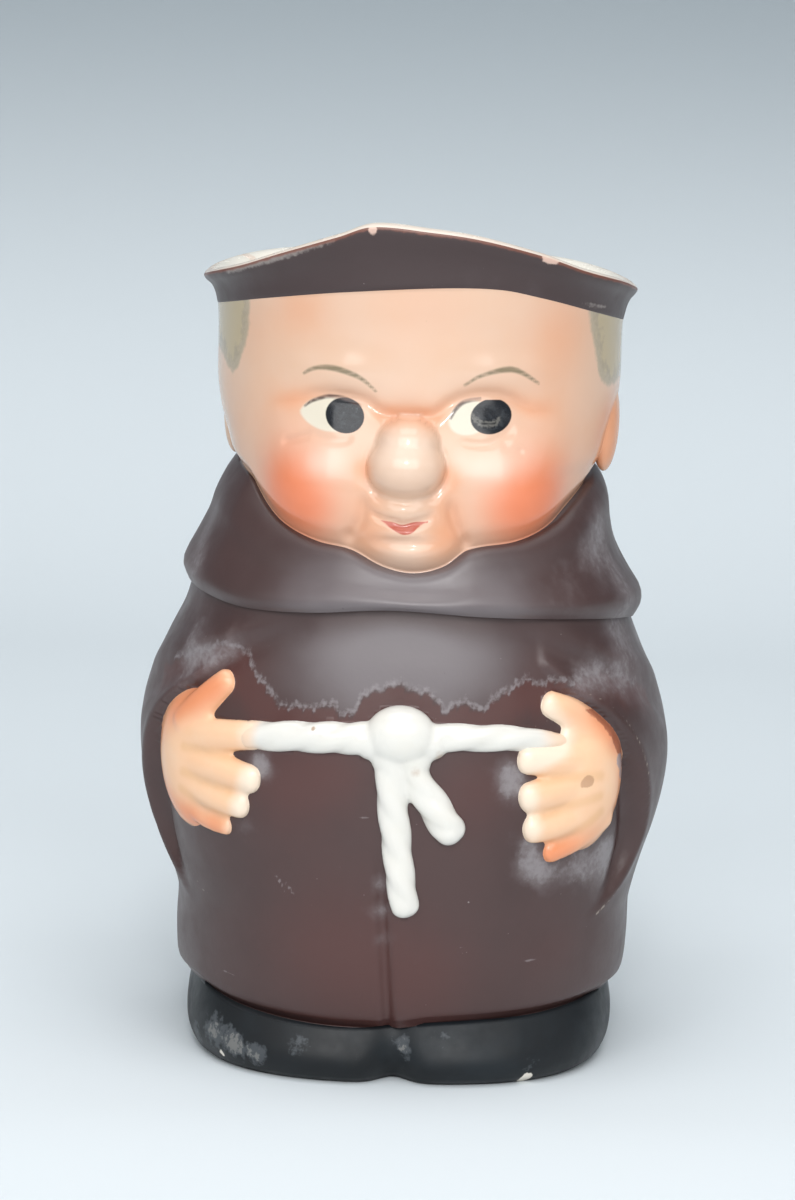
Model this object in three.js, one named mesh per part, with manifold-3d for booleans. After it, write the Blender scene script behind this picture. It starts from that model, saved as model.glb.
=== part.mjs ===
// A figural porcelain drinking mug: a stout monk in a cowl, slip-cast in one piece with its handle.
// Millimetres, +Z up. The figure faces -Y, the handle is behind at +Y, and the foot stands on z = 0.
// Bearings round the mug are in degrees from the front, positive towards +X.
import * as THREE from "three";
import { mergeVertices } from "three/addons/utils/BufferGeometryUtils.js";
import Module from "manifold-3d";

// Driving dimensions. The figure is free form: its carving is drawn in parts, 140 to its height.
const figureHeight = 140;
const part = figureHeight / 140;

const bodyWall = 3.4;
const lipWall = 2.6;
const floorThickness = 6;

const handleWidth = 13;
const handleThickness = 8;
const fingerGapDepth = 24;
const handleTopHeight = 119 * part;
const handleBottomHeight = 61 * part;

// The inside turns up from the floor in a curve, and the lip's wall thins between two heights.
const floorRounding = 6 * part;
const lipWallFrom = 112 * part;
const lipWallTo = 130 * part;
const aboveRim = 10 * part;
const hollowRows = 15;

// Heights of the lines that divide the figure, each as [bearing, height in parts].
const hemLine = [
  [-180, 11], [-120, 12], [-64, 12.3], [-45, 10.2], [-24, 9], [-6, 9], [11, 10], [38, 10.9], [64, 12.2],
  [120, 12],
];
const capeLine = [
  [-180, 77], [-120, 79], [-88, 79.2], [-60, 78], [-42, 77.2], [-24, 77.7], [-4, 78.9], [18, 78], [40, 77],
  [62, 75.6], [88, 74], [120, 75],
];
const cowlLine = [
  [-180, 101], [-120, 100.5], [-85, 99.8], [-58, 97.6], [-48, 93.8], [-39, 91.2], [-26, 88.8], [-16, 87.9],
  [-7, 85.5], [1, 84.6], [9, 85.8], [15.5, 88.4], [30, 89.6], [43, 91.8], [54, 94.6], [66, 97], [84, 98.8],
  [120, 100],
];
const capLine = [
  [-180, 124], [-120, 124.2], [-86, 124.4], [-64, 125.4], [-42, 127], [-20, 128.6], [6, 129.8], [22, 129.7],
  [34, 128.4], [53, 126], [70, 124.4], [86, 123.6], [120, 123.8],
];
const rimLine = [
  [-180, 132.5], [-140, 132.4], [-105, 130.6], [-86, 130], [-70, 130.8], [-51, 132.6], [-34, 135.5],
  [-20, 138.2], [-11.5, 140], [3, 139.4], [15, 138.4], [32, 135.9], [46, 133.4], [62, 131.6], [84, 129.7],
  [105, 130.2], [140, 132.3],
];

// Half-breadths of each layer: [height, left, right, front, back] in parts.
const shoeForm = [
  [0, 33.4, 33.8, 34.4, 32.4], [1.2, 34.6, 35.2, 36.2, 33.6], [4, 35.6, 36.4, 37, 34.4],
  [8, 35.6, 36.6, 35.4, 34], [13, 34.8, 35.6, 32.6, 32.4],
];
const robeForm = [
  [9, 35.8, 36.4, 34.6, 34.2], [11.5, 37.1, 37.6, 35.4, 35], [15, 37.7, 38.6, 36.4, 35.8],
  [20, 37.9, 39, 37.6, 36.4], [27, 37.8, 39.1, 38.7, 36.8], [36, 39.4, 39.8, 39.8, 37.2],
  [45, 41.2, 41.4, 40.4, 37.6], [51, 41.9, 42, 40.5, 37.8], [57, 41.7, 41.4, 40.3, 37.8],
  [63, 40.5, 40, 39.9, 37.6], [69, 39, 38.4, 39.2, 37.2], [76, 37, 37, 38, 36.4], [84, 35.4, 35.2, 37, 35.6],
];
const headForm = [
  [82, 27, 28, 34, 29], [93, 28.4, 29, 35, 30.4], [99, 29.4, 30, 35.2, 31.8], [102, 30.4, 31.6, 35, 32.4],
  [105, 31.4, 32.7, 34.6, 33], [108, 32.3, 33.6, 34, 33.4], [113, 33, 34.4, 33.6, 33.8],
  [122, 33.1, 34.5, 33.8, 33.8], [127, 33.5, 34.8, 34.3, 33.9], [132, 34, 35.4, 34.6, 34.2],
];
// The cowl from its lower edge (0) to its top edge (1), and the cap band from its lower edge to the rim.
const cowlForm = [
  [0, 37.4, 38.2, 39.6, 37.2], [0.09, 38.1, 39.3, 40.3, 38], [0.18, 37.5, 39.2, 40.6, 37.8],
  [0.28, 36.4, 37.6, 40.4, 36.6], [0.4, 35.1, 35.8, 39.8, 35.2], [0.52, 33.9, 34.4, 39.2, 34.2],
  [0.66, 33, 33.6, 38.7, 33.4], [0.82, 31.4, 33.1, 38.2, 32.4], [0.93, 29.9, 32, 37.6, 31.4],
  [1, 28.9, 30.6, 36.6, 30.4],
];
const capForm = [
  [0, 33.3, 34.6, 34.6, 34], [0.4, 33.9, 35.2, 35.2, 34.5], [0.8, 35.2, 36.3, 36.4, 35.6],
  [1, 35.7, 36.8, 37, 36.2],
];
// The hollow follows the figure's broad form, without its carving.
const hollowForm = [
  [0, 33.6, 34.4, 32, 32], [14, 35.8, 36.6, 34.6, 34], [30, 38.2, 39, 38.4, 36.6], [50, 41.6, 41.6, 40, 37.6],
  [66, 39.6, 39.4, 39, 37], [82, 34.6, 34.8, 35.6, 34], [98, 28.6, 29.6, 32.8, 30.2],
  [110, 32.2, 33.4, 32.6, 32.8],
  [122, 32.9, 34.1, 33.4, 33.5], [131, 34.2, 35.4, 34.6, 34.6], [150, 36.6, 37.6, 37.8, 37],
];

const bodySquareness = 2.25;
const shoeSquareness = 2.7;
const headSquareness = 2.15;

// Value of one column of a table at a place along it, on a smooth curve through its rows.
function along(table, at, column) {
  const last = table.length - 1;
  if (at <= table[0][0]) return table[0][column];
  if (at >= table[last][0]) return table[last][column];
  let i = 0;
  while (table[i + 1][0] < at) i++;
  const slope = (j) => {
    const a = Math.max(j - 1, 0), b = Math.min(j + 1, last);
    return (table[b][column] - table[a][column]) / (table[b][0] - table[a][0]);
  };
  const span = table[i + 1][0] - table[i][0];
  const t = (at - table[i][0]) / span;
  const [p, q] = [table[i][column], table[i + 1][column]];
  const [u, v] = [slope(i) * span, slope(i + 1) * span];
  return p + t * (u + t * (3 * (q - p) - 2 * u - v + t * (u + v - 2 * (q - p))));
}

// Height of a dividing line at a bearing. The line closes on itself behind.
function lineHeight(line, bearing) {
  const [first, second] = line, last = line.at(-1);
  const closed = [[last[0] - 360, last[1]], ...line, [180, first[1]], [second[0] + 360, second[1]]];
  return along(closed, bearing, 1);
}

// Distance from the axis to a section whose four half-breadths are given, at a bearing.
function section(form, at, bearing, squareness) {
  const s = Math.sin(THREE.MathUtils.degToRad(bearing)), c = Math.cos(THREE.MathUtils.degToRad(bearing));
  const side = along(form, at, s < 0 ? 1 : 2), depth = along(form, at, c > 0 ? 3 : 4);
  return (Math.abs(s / side) ** squareness + Math.abs(c / depth) ** squareness) ** (-1 / squareness);
}

const swell = (distance, reach) => Math.exp(-((distance / reach) ** 2));
const smooth = (from, to, value) => THREE.MathUtils.smoothstep(value, from, to);

// A soft oval mound or hollow on the surface: [bearing, height, half-width in degrees, half-height, rise].
const mound = (bearing, height, [b, h, wide, tall, rise]) =>
  rise * swell(Math.hypot((bearing - b) / wide, (height - h) / tall), 1);

// Carving of the head: brow, cheeks, muzzle, chin and upper lip stand out, eye sockets and creases sink in.
const headMounds = [
  [-30, 96.5, 16, 8.5, 2.9], [31, 96.5, 16, 8.5, 2.9], [-62, 99, 16, 7, 1], [62, 99, 16, 7, 1],
  [-2, 93.5, 11, 5.5, 2.2], [1, 87.3, 11, 3.6, 2.4], [-2, 89.6, 7, 1, -0.7],
  [-20, 109.6, 9, 4.2, -1.3], [20, 110, 9, 4.2, -1.3], [-2, 109.4, 7, 2.4, -1.1],
  [-21, 116, 13, 3, 0.5], [23, 116.4, 13, 3, 0.5], [-12.6, 93.8, 2.2, 4.4, -0.9], [9.8, 93.8, 2.2, 4.4, -0.9],
  [-16, 89.4, 3.4, 1.6, -1], [14, 89.4, 3.4, 1.6, -1],
];
const toeGap = { bearing: -0.5, width: 5.5, depth: 4.4, depthAbove: 1.4, top: 9 };
const frontFold = { top: 43, topBearing: -5.3, foot: 9, footBearing: -2, width: 2.6, depth: 1.1, lap: 0.7 };

// The sleeve opening runs from above the thumb, round the outside of the hand, to the tip of the sleeve.
// Each row is [height, degrees from the middle between the two arms].
const armsMiddle = -6;
const sleeveEdge = [
  [24, 50], [27, 56.5], [29.3, 62], [33, 67.5], [38.5, 70], [46, 67], [52, 63], [55.7, 60], [58.8, 56.2],
  [62.2, 51], [64.7, 45.8], [70, 38],
];
const sleeveRise = [
  [26, 0], [30, 0.7], [33, 1.3], [36, 1.9], [39, 2.4], [45, 2.75], [51, 2.8], [57, 2.75], [63, 2.3], [69, 1.2],
  [74, 0.2], [77, 0],
];

// 1 between two heights or bearings, falling smoothly to 0 on each side: [from, full, still full, to].
const between = (value, [from, full, stillFull, to]) =>
  smooth(from, full, value) * (1 - smooth(stillFull, to, value));

// The sleeve's edge is rolled, with a narrow channel between it and the hand.
function sleeve(bearing, height) {
  const turn = Math.abs(bearing - armsMiddle);
  const past = turn - along(sleeveEdge, height, 1);
  const rise = along(sleeveRise, height, 1) * (1 - smooth(104, 138, turn));
  const roll = 0.4 * swell(past - 4, 4) * between(height, [26, 34, 60, 68]);
  const channel = 0.6 * swell(past + 3, 3) * between(height, [28, 36, 58, 66]);
  return rise * smooth(-1.5, 3.5, past) + roll - channel;
}

// Two soft folds run down from the shoulder to the crook of each arm, and shallow ones hang behind.
function robeFolds(bearing, height) {
  const turn = Math.abs(bearing);
  const armFold = -0.8 * swell(height - 70 + 0.28 * (turn - 42), 2.4) * between(turn, [20, 40, 70, 92]);
  const upperFold = 0.5 * swell(height - 73.5 + 0.2 * (turn - 42), 2.2) * between(turn, [26, 44, 74, 96]);
  const waves = Math.cos(THREE.MathUtils.degToRad(9 * bearing));
  const behind = 0.45 * waves * smooth(112, 145, turn) * (1 - smooth(50, 74, height));
  const f = frontFold;
  const drop = (f.top - height) / (f.top - f.foot);
  const from = bearing - THREE.MathUtils.lerp(f.topBearing, f.footBearing, drop);
  const shown = smooth(0, 0.5, drop);
  const front = shown * (f.lap * swell(from - 5, 5) - f.depth * swell(from, f.width));
  return armFold + upperFold + behind + front;
}

const shoes = {
  low: () => 0,
  high: (bearing) => lineHeight(hemLine, bearing) + 0.4,
  rows: [0, 0.09, 0.32, 0.62, 0.86, 1],
  reach: (bearing, t, height) =>
    section(shoeForm, height, bearing, shoeSquareness) -
    THREE.MathUtils.lerp(toeGap.depth, toeGap.depthAbove, smooth(0, toeGap.top, height)) *
      swell(bearing - toeGap.bearing, toeGap.width),
};
const robe = {
  low: (bearing) => lineHeight(hemLine, bearing),
  high: (bearing) => lineHeight(capeLine, bearing) + 0.6,
  rows: [0, 0.016, 0.05, 0.11, 0.18, 0.25, 0.32, 0.38, 0.44, 0.5, 0.56, 0.62, 0.68, 0.74, 0.8, 0.86, 0.93, 1],
  reach: (bearing, t, height) =>
    section(robeForm, height, bearing, bodySquareness) + sleeve(bearing, height) +
    robeFolds(bearing, height) - 1.1 * (1 - smooth(0, 0.03, t)),
};
const cowl = {
  low: (bearing) => lineHeight(capeLine, bearing),
  high: (bearing) => lineHeight(cowlLine, bearing),
  rows: [0, 0.08, 0.2, 0.36, 0.55, 0.76, 0.93, 1],
  reach: (bearing, t) => section(cowlForm, t, bearing, headSquareness),
};
const head = {
  low: (bearing) => lineHeight(cowlLine, bearing) - 0.3,
  high: (bearing) => lineHeight(capLine, bearing),
  rows: [0, 0.06, 0.12, 0.19, 0.26, 0.33, 0.4, 0.48, 0.56, 0.64, 0.72, 0.81, 0.91, 1],
  reach: (bearing, t, height) =>
    section(headForm, height, bearing, headSquareness) +
    headMounds.reduce((sum, m) => sum + mound(bearing, height, m), 0) - 0.8 * (1 - smooth(0, 0.1, t)),
};
const cap = {
  low: (bearing) => lineHeight(capLine, bearing) + 0.1,
  high: (bearing) => lineHeight(rimLine, bearing),
  rows: [0, 0.4, 0.8, 1],
  reach: (bearing, t) => section(capForm, t, bearing, headSquareness) + 0.6 * t * swell(bearing + 11.5, 16),
};
const layers = [shoes, robe, cowl, head, cap];

// Bearings of the columns of the skin: close together in front, where the carving is, and wider behind.
function skinBearings() {
  const list = [];
  for (let b = -180; b < 179.9; b += Math.abs(b + 2) < 92 ? 4.7 : 13) list.push(b);
  return list;
}

// A point of a layer: t runs from 0 at its lower line to 1 at its upper line.
function layerPoint(layer, bearing, t) {
  const height = THREE.MathUtils.lerp(layer.low(bearing), layer.high(bearing), t);
  return skinPoint(bearing, height, layer.reach(bearing, t, height));
}

function skinPoint(bearing, height, reach) {
  const a = THREE.MathUtils.degToRad(bearing);
  return new THREE.Vector3(reach * Math.sin(a), -reach * Math.cos(a), height).multiplyScalar(part);
}

// A closed skin from rings of points, with a point on the axis below and above.
function closedSkin(rings, bottom, top) {
  const points = [bottom, ...rings.flat(), top];
  const n = rings[0].length, index = [];
  const at = (row, i) => 1 + row * n + (i % n);
  for (let i = 0; i < n; i++) {
    index.push(0, at(0, i + 1), at(0, i));
    for (let row = 0; row < rings.length - 1; row++) {
      index.push(at(row, i), at(row, i + 1), at(row + 1, i));
      index.push(at(row, i + 1), at(row + 1, i + 1), at(row + 1, i));
    }
    index.push(points.length - 1, at(rings.length - 1, i), at(rings.length - 1, i + 1));
  }
  return new THREE.BufferGeometry().setFromPoints(points).setIndex(index);
}

function bodySkin() {
  const bearings = skinBearings();
  const ringOf = (layer, t) => bearings.map((b) => layerPoint(layer, b, t));
  const rings = layers.flatMap((layer) => layer.rows.map((t) => ringOf(layer, t)));
  const rim = rings.at(-1);
  rings.push(rim.map(({ x, y, z }) => {
    const share = 1 - (2 * lipWall) / Math.hypot(x, y);
    return new THREE.Vector3(x * share, y * share, z);
  }));
  return closedSkin(rings, new THREE.Vector3(), new THREE.Vector3(0, 0, Math.min(...rim.map((p) => p.z))));
}

// The hollow inside: floor, body, neck and mouth, each set in from the outer form by its wall.
function hollowSkin() {
  const bearings = skinBearings().filter((b, i) => i % 2 === 0);
  const ring = (height, inset) => bearings.map((b) => {
    const wall = THREE.MathUtils.lerp(bodyWall, lipWall, smooth(lipWallFrom, lipWallTo, height));
    const r = section(hollowForm, height / part, b, headSquareness) * part - wall - inset;
    const a = THREE.MathUtils.degToRad(b);
    return new THREE.Vector3(r * Math.sin(a), -r * Math.cos(a), height);
  });
  const wallFoot = floorThickness + floorRounding;
  const wallTop = figureHeight + aboveRim;
  const rings = [
    ring(floorThickness, floorRounding),
    ring(floorThickness + floorRounding * 0.25, floorRounding * 0.3),
  ];
  for (let i = 0; i <= hollowRows; i++)
    rings.push(ring(THREE.MathUtils.lerp(wallFoot, wallTop, i / hollowRows), 0));
  return closedSkin(rings, new THREE.Vector3(0, 0, floorThickness), new THREE.Vector3(0, 0, wallTop));
}

// Place on the finished skin of the robe or head, sunk below it (or standing out, if sink is negative).
function onSkin(layer, bearing, height, sink) {
  const t = (height - layer.low(bearing)) / (layer.high(bearing) - layer.low(bearing));
  return skinPoint(bearing, height, layer.reach(bearing, t, height) - sink);
}

// A rounded limb along a smooth line of points. Its depth is a share of its width, and a cord has strands.
function limb(points, radii, { depth = 0.8, sides = 8, steps = 3, twist = 0, strands = 0 } = {}) {
  const line = new THREE.CatmullRomCurve3(points);
  const rings = [];
  const endRows = [[-0.92, 0.4], [-0.55, 0.84]];
  const places = [
    ...endRows.map(([shift, share]) => [0, shift, share]),
    ...Array.from({ length: steps + 1 }, (_, i) => [i / steps, 0, 1]),
    ...endRows.toReversed().map(([shift, share]) => [1, -shift, share]),
  ];
  for (const [u, shift, share] of places) {
    const middle = line.getPoint(u), way = line.getTangent(u);
    const out = new THREE.Vector3(middle.x, middle.y, 0).normalize();
    const across = new THREE.Vector3().crossVectors(out, way).normalize();
    out.crossVectors(way, across);
    const radius = along(radii.map((r, i) => [i / (radii.length - 1), r]), u, 1) * part * share;
    middle.addScaledVector(way, shift * radius / share);
    rings.push(Array.from({ length: sides }, (_, i) => {
      const a = (i / sides) * 2 * Math.PI;
      const r = radius * (1 + strands * Math.cos(2 * a + twist * u));
      const side = across.clone().multiplyScalar(r * Math.cos(a));
      return side.addScaledVector(out, r * depth * Math.sin(a)).add(middle);
    }));
  }
  const centre = (ring) => ring.reduce((sum, p) => sum.add(p), new THREE.Vector3()).divideScalar(sides);
  return closedSkin(rings, centre(rings[0]), centre(rings.at(-1)));
}

// A ball pressed on the skin: its half-breadths across, out and up.
function ball(middle, across, out, up, turn = 0) {
  const g = new THREE.SphereGeometry(1, 12, 9).rotateX(Math.PI / 2);
  g.scale(across * part, out * part, up * part);
  g.rotateY(THREE.MathUtils.degToRad(turn)).rotateZ(Math.atan2(middle.x, -middle.y));
  return g.translate(middle.x, middle.y, middle.z);
}

// Hands: a palm pad, four fingers and a thumb lie on the belly. Each finger goes through three places, as
// bearing and height, and has its half-breadth at the knuckle and at the tip.
const handRight = {
  palm: [46, 50.6, 2.4], palmSize: [8.2, 4.8, 12.2], palmTurn: 6,
  fingers: [
    { places: [[49, 53.4], [38, 54.4], [28.2, 55]], knuckle: 2.9, tip: 2.5 },
    { places: [[49, 50.2], [38.4, 49.8], [28.8, 48.8]], knuckle: 2.9, tip: 2.6 },
    { places: [[49, 47], [39, 44.6], [30.2, 43.5]], knuckle: 2.9, tip: 2.5 },
    { places: [[50, 44.4], [42.6, 41.2], [35.2, 39.1]], knuckle: 2.6, tip: 1.8 },
    { places: [[48, 56.6], [41.6, 61], [34.2, 63.7]], knuckle: 3.2, tip: 2.3 },
  ],
};
const handLeft = {
  palm: [-57.5, 51.4, 2.4], palmSize: [8.6, 4.8, 12.2], palmTurn: -8,
  fingers: [
    { places: [[-56.5, 54.4], [-44, 56.3], [-34.4, 57.2]], knuckle: 2.9, tip: 2.4 },
    { places: [[-56.5, 51], [-44, 50.8], [-35.2, 50]], knuckle: 2.9, tip: 2.4 },
    { places: [[-57, 48], [-46, 46.2], [-38, 45.4]], knuckle: 2.8, tip: 2.3 },
    { places: [[-58, 45.2], [-50, 42.4], [-42.6, 41.3]], knuckle: 2.5, tip: 1.6 },
    { places: [[-56, 57], [-50.6, 61], [-44.4, 65.1]], knuckle: 3.2, tip: 2.3 },
  ],
};
const fingerSink = 0.3;

function handPieces({ palm: [bearing, height, sink], palmSize, palmTurn, fingers }) {
  return [
    ball(onSkin(robe, bearing, height, sink), ...palmSize, palmTurn),
    ...fingers.map(({ places, knuckle, tip }) =>
      limb(places.map(([b, h]) => onSkin(robe, b, h, fingerSink)), [knuckle, tip], { sides: 7 })),
  ];
}

// The cord belt, its knot and its two hanging ends, all laid on the robe.
function ropePieces() {
  const cord = (list, r, twist, steps) =>
    limb(list.map(([b, h]) => onSkin(robe, b, h, 0.2)), [r, r], { depth: 0.85, steps, twist, strands: 0.08 });
  return [
    cord([[-36, 57.1], [-24, 57.8], [-14, 58.1], [-6, 58.3]], 2.5, 26, 9),
    cord([[38, 57.6], [26, 58.4], [14, 58.7], [2, 58.7]], 2.2, 26, 9),
    cord([[-2.9, 55], [-2.6, 50], [-1.4, 43], [1, 31]], 2.4, 22, 9),
    cord([[1.4, 54], [3.8, 51], [6.8, 47.9], [10.8, 43.6]], 2.6, 14, 6),
    ball(onSkin(robe, -0.9, 58.8, 0), 5.7, 4.1, 4.9),
  ];
}

// Ears lie against the head, and the ball nose stands out.
function headPieces() {
  return [
    ball(onSkin(head, -1.7, 101.4, 0.6), 6.6, 6.4, 6.3),
    ball(onSkin(head, 80, 106, 1.2), 4.4, 2.3, 7.6, 6),
    ball(onSkin(head, -96, 106, 1.2), 4.4, 2, 7.6, -6),
  ];
}

// The handle: a loop behind, from the back of the head to the back of the robe, its ends in the wall.
const handleEndDepth = 0.7 * bodyWall;

function handle() {
  const top = onSkin(head, 180, handleTopHeight / part, 0).y;
  const bottom = onSkin(robe, 180, handleBottomHeight / part, 0).y;
  const reach = Math.max(top, bottom) + fingerGapDepth + handleThickness / 2;
  const drop = handleTopHeight - handleBottomHeight;
  const line = new THREE.CatmullRomCurve3([
    [top - handleEndDepth, handleTopHeight],
    [top + fingerGapDepth * 0.35, handleTopHeight + drop * 0.03],
    [reach - fingerGapDepth * 0.22, handleTopHeight - drop * 0.06],
    [reach, handleTopHeight - drop * 0.3],
    [reach - fingerGapDepth * 0.1, handleBottomHeight + drop * 0.36],
    [reach - fingerGapDepth * 0.5, handleBottomHeight + drop * 0.12],
    [bottom - handleEndDepth, handleBottomHeight],
  ].map(([y, z]) => new THREE.Vector3(0, y, z)));
  const sides = 10;
  const outline = new THREE.Shape(Array.from({ length: sides }, (_, i) => {
    const a = (i / sides) * 2 * Math.PI;
    return new THREE.Vector2((handleWidth / 2) * Math.cos(a), (handleThickness / 2) * Math.sin(a));
  }));
  return new THREE.ExtrudeGeometry(outline, { steps: 17, extrudePath: line, bevelEnabled: false });
}

const wasm = await Module();
wasm.setup();

// A closed geometry as a solid that can be joined or cut.
function solidOf(geometry) {
  const bare = geometry.index ? geometry.toNonIndexed() : geometry.clone();
  const placesOnly = new THREE.BufferGeometry().setAttribute("position", bare.getAttribute("position"));
  const merged = mergeVertices(placesOnly, 1e-4);
  return new wasm.Manifold(new wasm.Mesh({
    numProp: 3,
    vertProperties: merged.attributes.position.array,
    triVerts: new Uint32Array(merged.index.array),
  }));
}

function geometryOf(solid) {
  const mesh = solid.getMesh();
  return new THREE.BufferGeometry()
    .setAttribute("position", new THREE.BufferAttribute(new Float32Array(mesh.vertProperties), 3))
    .setIndex(new THREE.BufferAttribute(new Uint32Array(mesh.triVerts), 1));
}

// One slip-cast piece: the skin with everything modelled on it, emptied by the hollow.
function mugBody() {
  const hands = [handRight, handLeft].flatMap(handPieces);
  const raised = [...hands, ...ropePieces(), ...headPieces(), handle()];
  const full = raised.reduce((all, piece) => all.add(solidOf(piece)), solidOf(bodySkin()));
  return geometryOf(full.subtract(solidOf(hollowSkin())));
}

const glaze = new THREE.MeshStandardMaterial({ color: "#54433f", roughness: 0.4, metalness: 0 });
const mug = new THREE.Mesh(mugBody(), glaze);
mug.name = "mug";

const root = new THREE.Group();
root.add(mug);
export default root;
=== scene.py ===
import math

import bmesh
import bpy
import numpy as np
from mathutils import Matrix, Vector


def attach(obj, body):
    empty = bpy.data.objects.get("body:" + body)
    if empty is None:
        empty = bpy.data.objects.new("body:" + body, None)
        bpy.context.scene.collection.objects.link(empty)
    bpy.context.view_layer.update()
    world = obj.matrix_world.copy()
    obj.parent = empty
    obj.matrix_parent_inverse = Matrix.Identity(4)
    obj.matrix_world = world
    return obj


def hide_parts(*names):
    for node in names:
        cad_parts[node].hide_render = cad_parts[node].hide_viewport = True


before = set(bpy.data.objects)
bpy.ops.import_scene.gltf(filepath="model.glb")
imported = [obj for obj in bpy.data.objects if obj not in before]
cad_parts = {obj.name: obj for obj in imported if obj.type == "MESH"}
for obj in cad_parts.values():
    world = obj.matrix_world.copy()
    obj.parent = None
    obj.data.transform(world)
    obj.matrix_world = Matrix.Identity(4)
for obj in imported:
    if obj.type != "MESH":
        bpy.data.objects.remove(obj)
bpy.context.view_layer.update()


# Camera. The photograph was taken with a long lens from a little above the rim's height, level with
# the figure's front and turned slightly about its own axis. Sizes are millimetres, pixels where said.
PHOTO_HEIGHT_PX = 1200
FOCAL_PX = 3700
SENSOR_MM = 36
VIEW_ELEVATION = math.radians(8.5)
VIEW_ROLL = math.radians(1.7)
AIM_HEIGHT_MM = 74.8
CAMERA_DISTANCE_MM = 627.5
SIDE_STEP_MM = -1.78

camera_data = bpy.data.cameras.new("camera")
camera_data.sensor_width = SENSOR_MM
camera_data.lens = FOCAL_PX / PHOTO_HEIGHT_PX * SENSOR_MM
camera = bpy.data.objects.new("camera", camera_data)
bpy.context.scene.collection.objects.link(camera)
turn = Matrix.Rotation(math.pi / 2 - VIEW_ELEVATION, 4, "X") @ Matrix.Rotation(VIEW_ROLL, 4, "Z")
aim = Vector((0, 0, AIM_HEIGHT_MM / 1000)) + turn.to_3x3() @ Vector((SIDE_STEP_MM / 1000, 0, 0))
back = Vector((0, -math.cos(VIEW_ELEVATION), math.sin(VIEW_ELEVATION)))
camera.matrix_world = Matrix.Translation(aim + back * CAMERA_DISTANCE_MM / 1000) @ turn
camera_data.clip_start, camera_data.clip_end = 0.05, 20
bpy.context.scene.camera = camera


# Studio. A pale paper sweep runs up behind the mug, and big soft lights stand in front and above.
# One function turns sRGB hex to linear colour, and one adds a node with its settings and links.
def colour(hex_code, alpha=1.0):
    parts = [int(hex_code[i:i + 2], 16) / 255 for i in (1, 3, 5)]
    return [p / 12.92 if p <= 0.04045 else ((p + 0.055) / 1.055) ** 2.4 for p in parts] + [alpha]


def add(tree, kind, settings=None, **links):
    node = tree.nodes.new("ShaderNode" + kind)
    for name, value in (settings or {}).items():
        setattr(node, name, value)
    for name, value in links.items():
        key = int(name[1:]) if name[0] == "i" and name[1:].isdigit() else name.replace("_", " ")
        socket = node.inputs[key]
        if isinstance(value, bpy.types.NodeSocket):
            tree.links.new(value, socket)
        else:
            socket.default_value = value
    return node


def new_material(name, **settings):
    made = bpy.data.materials.new(name)
    made.use_nodes = True
    shader = made.node_tree.nodes["Principled BSDF"]
    for key, value in settings.items():
        shader.inputs[key.replace("_", " ")].default_value = value
    return made, made.node_tree, shader


SWEEP_HALF_WIDTH, SWEEP_FRONT, SWEEP_BACK, SWEEP_TOP, SWEEP_BEND = 1.6, -1.2, 0.75, 1.5, 0.35
bm = bmesh.new()
arc = [(SWEEP_BACK - SWEEP_BEND + SWEEP_BEND * math.sin(a), SWEEP_BEND - SWEEP_BEND * math.cos(a))
       for a in np.radians(np.arange(0, 91, 6))]
sweep_line = [(SWEEP_FRONT, 0), *arc, (SWEEP_BACK, SWEEP_TOP)]
edge = [bm.verts.new((-SWEEP_HALF_WIDTH, y, z)) for y, z in sweep_line]
line = [bm.edges.new(pair) for pair in zip(edge, edge[1:])]
swept = bmesh.ops.extrude_edge_only(bm, edges=line)["geom"]
moved = [v for v in swept if isinstance(v, bmesh.types.BMVert)]
bmesh.ops.translate(bm, verts=moved, vec=(2 * SWEEP_HALF_WIDTH, 0, 0))
bmesh.ops.recalc_face_normals(bm, faces=bm.faces)
sweep_mesh = bpy.data.meshes.new("paper_sweep")
bm.to_mesh(sweep_mesh)
bm.free()
for face in sweep_mesh.polygons:
    face.use_smooth = True
sweep = bpy.data.objects.new("paper_sweep", sweep_mesh)
bpy.context.scene.collection.objects.link(sweep)
# Matt coated paper: it gives no reflection, only the mug's soft shadow. Its colour is painted shade that
# grows darker upwards, from pale at the floor to grey-blue about 24 cm up.
paper, paper_tree, paper_shader = new_material("pale matt background paper, shaded darker towards the top",
                                               Roughness=0.9)
paper_shader.inputs["Specular IOR Level"].default_value = 0.2
paper_place = add(paper_tree, "SeparateXYZ", Vector=add(paper_tree, "TexCoord").outputs["Object"])
paper_shade = add(paper_tree, "MapRange", {"interpolation_type": "SMOOTHSTEP"},
                  Value=paper_place.outputs["Z"], From_Min=0.0, From_Max=0.24)
paper_painted_shade_tone = add(paper_tree, "MixRGB", Fac=paper_shade.outputs["Result"], Color1=colour("#dfe6ea"),
                 Color2=colour("#8e979d"))
paper_tree.links.new(paper_painted_shade_tone.outputs["Color"], paper_shader.inputs["Base Color"])
sweep_mesh.materials.append(paper)

SKY_STRENGTH = 0.34
sky = bpy.data.worlds.new("studio")
sky.use_nodes = True
sky.node_tree.nodes["Background"].inputs["Color"].default_value = colour("#e6edf2")
sky.node_tree.nodes["Background"].inputs["Strength"].default_value = SKY_STRENGTH
bpy.context.scene.world = sky
bpy.context.scene.view_settings.view_transform = "Standard"

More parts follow.
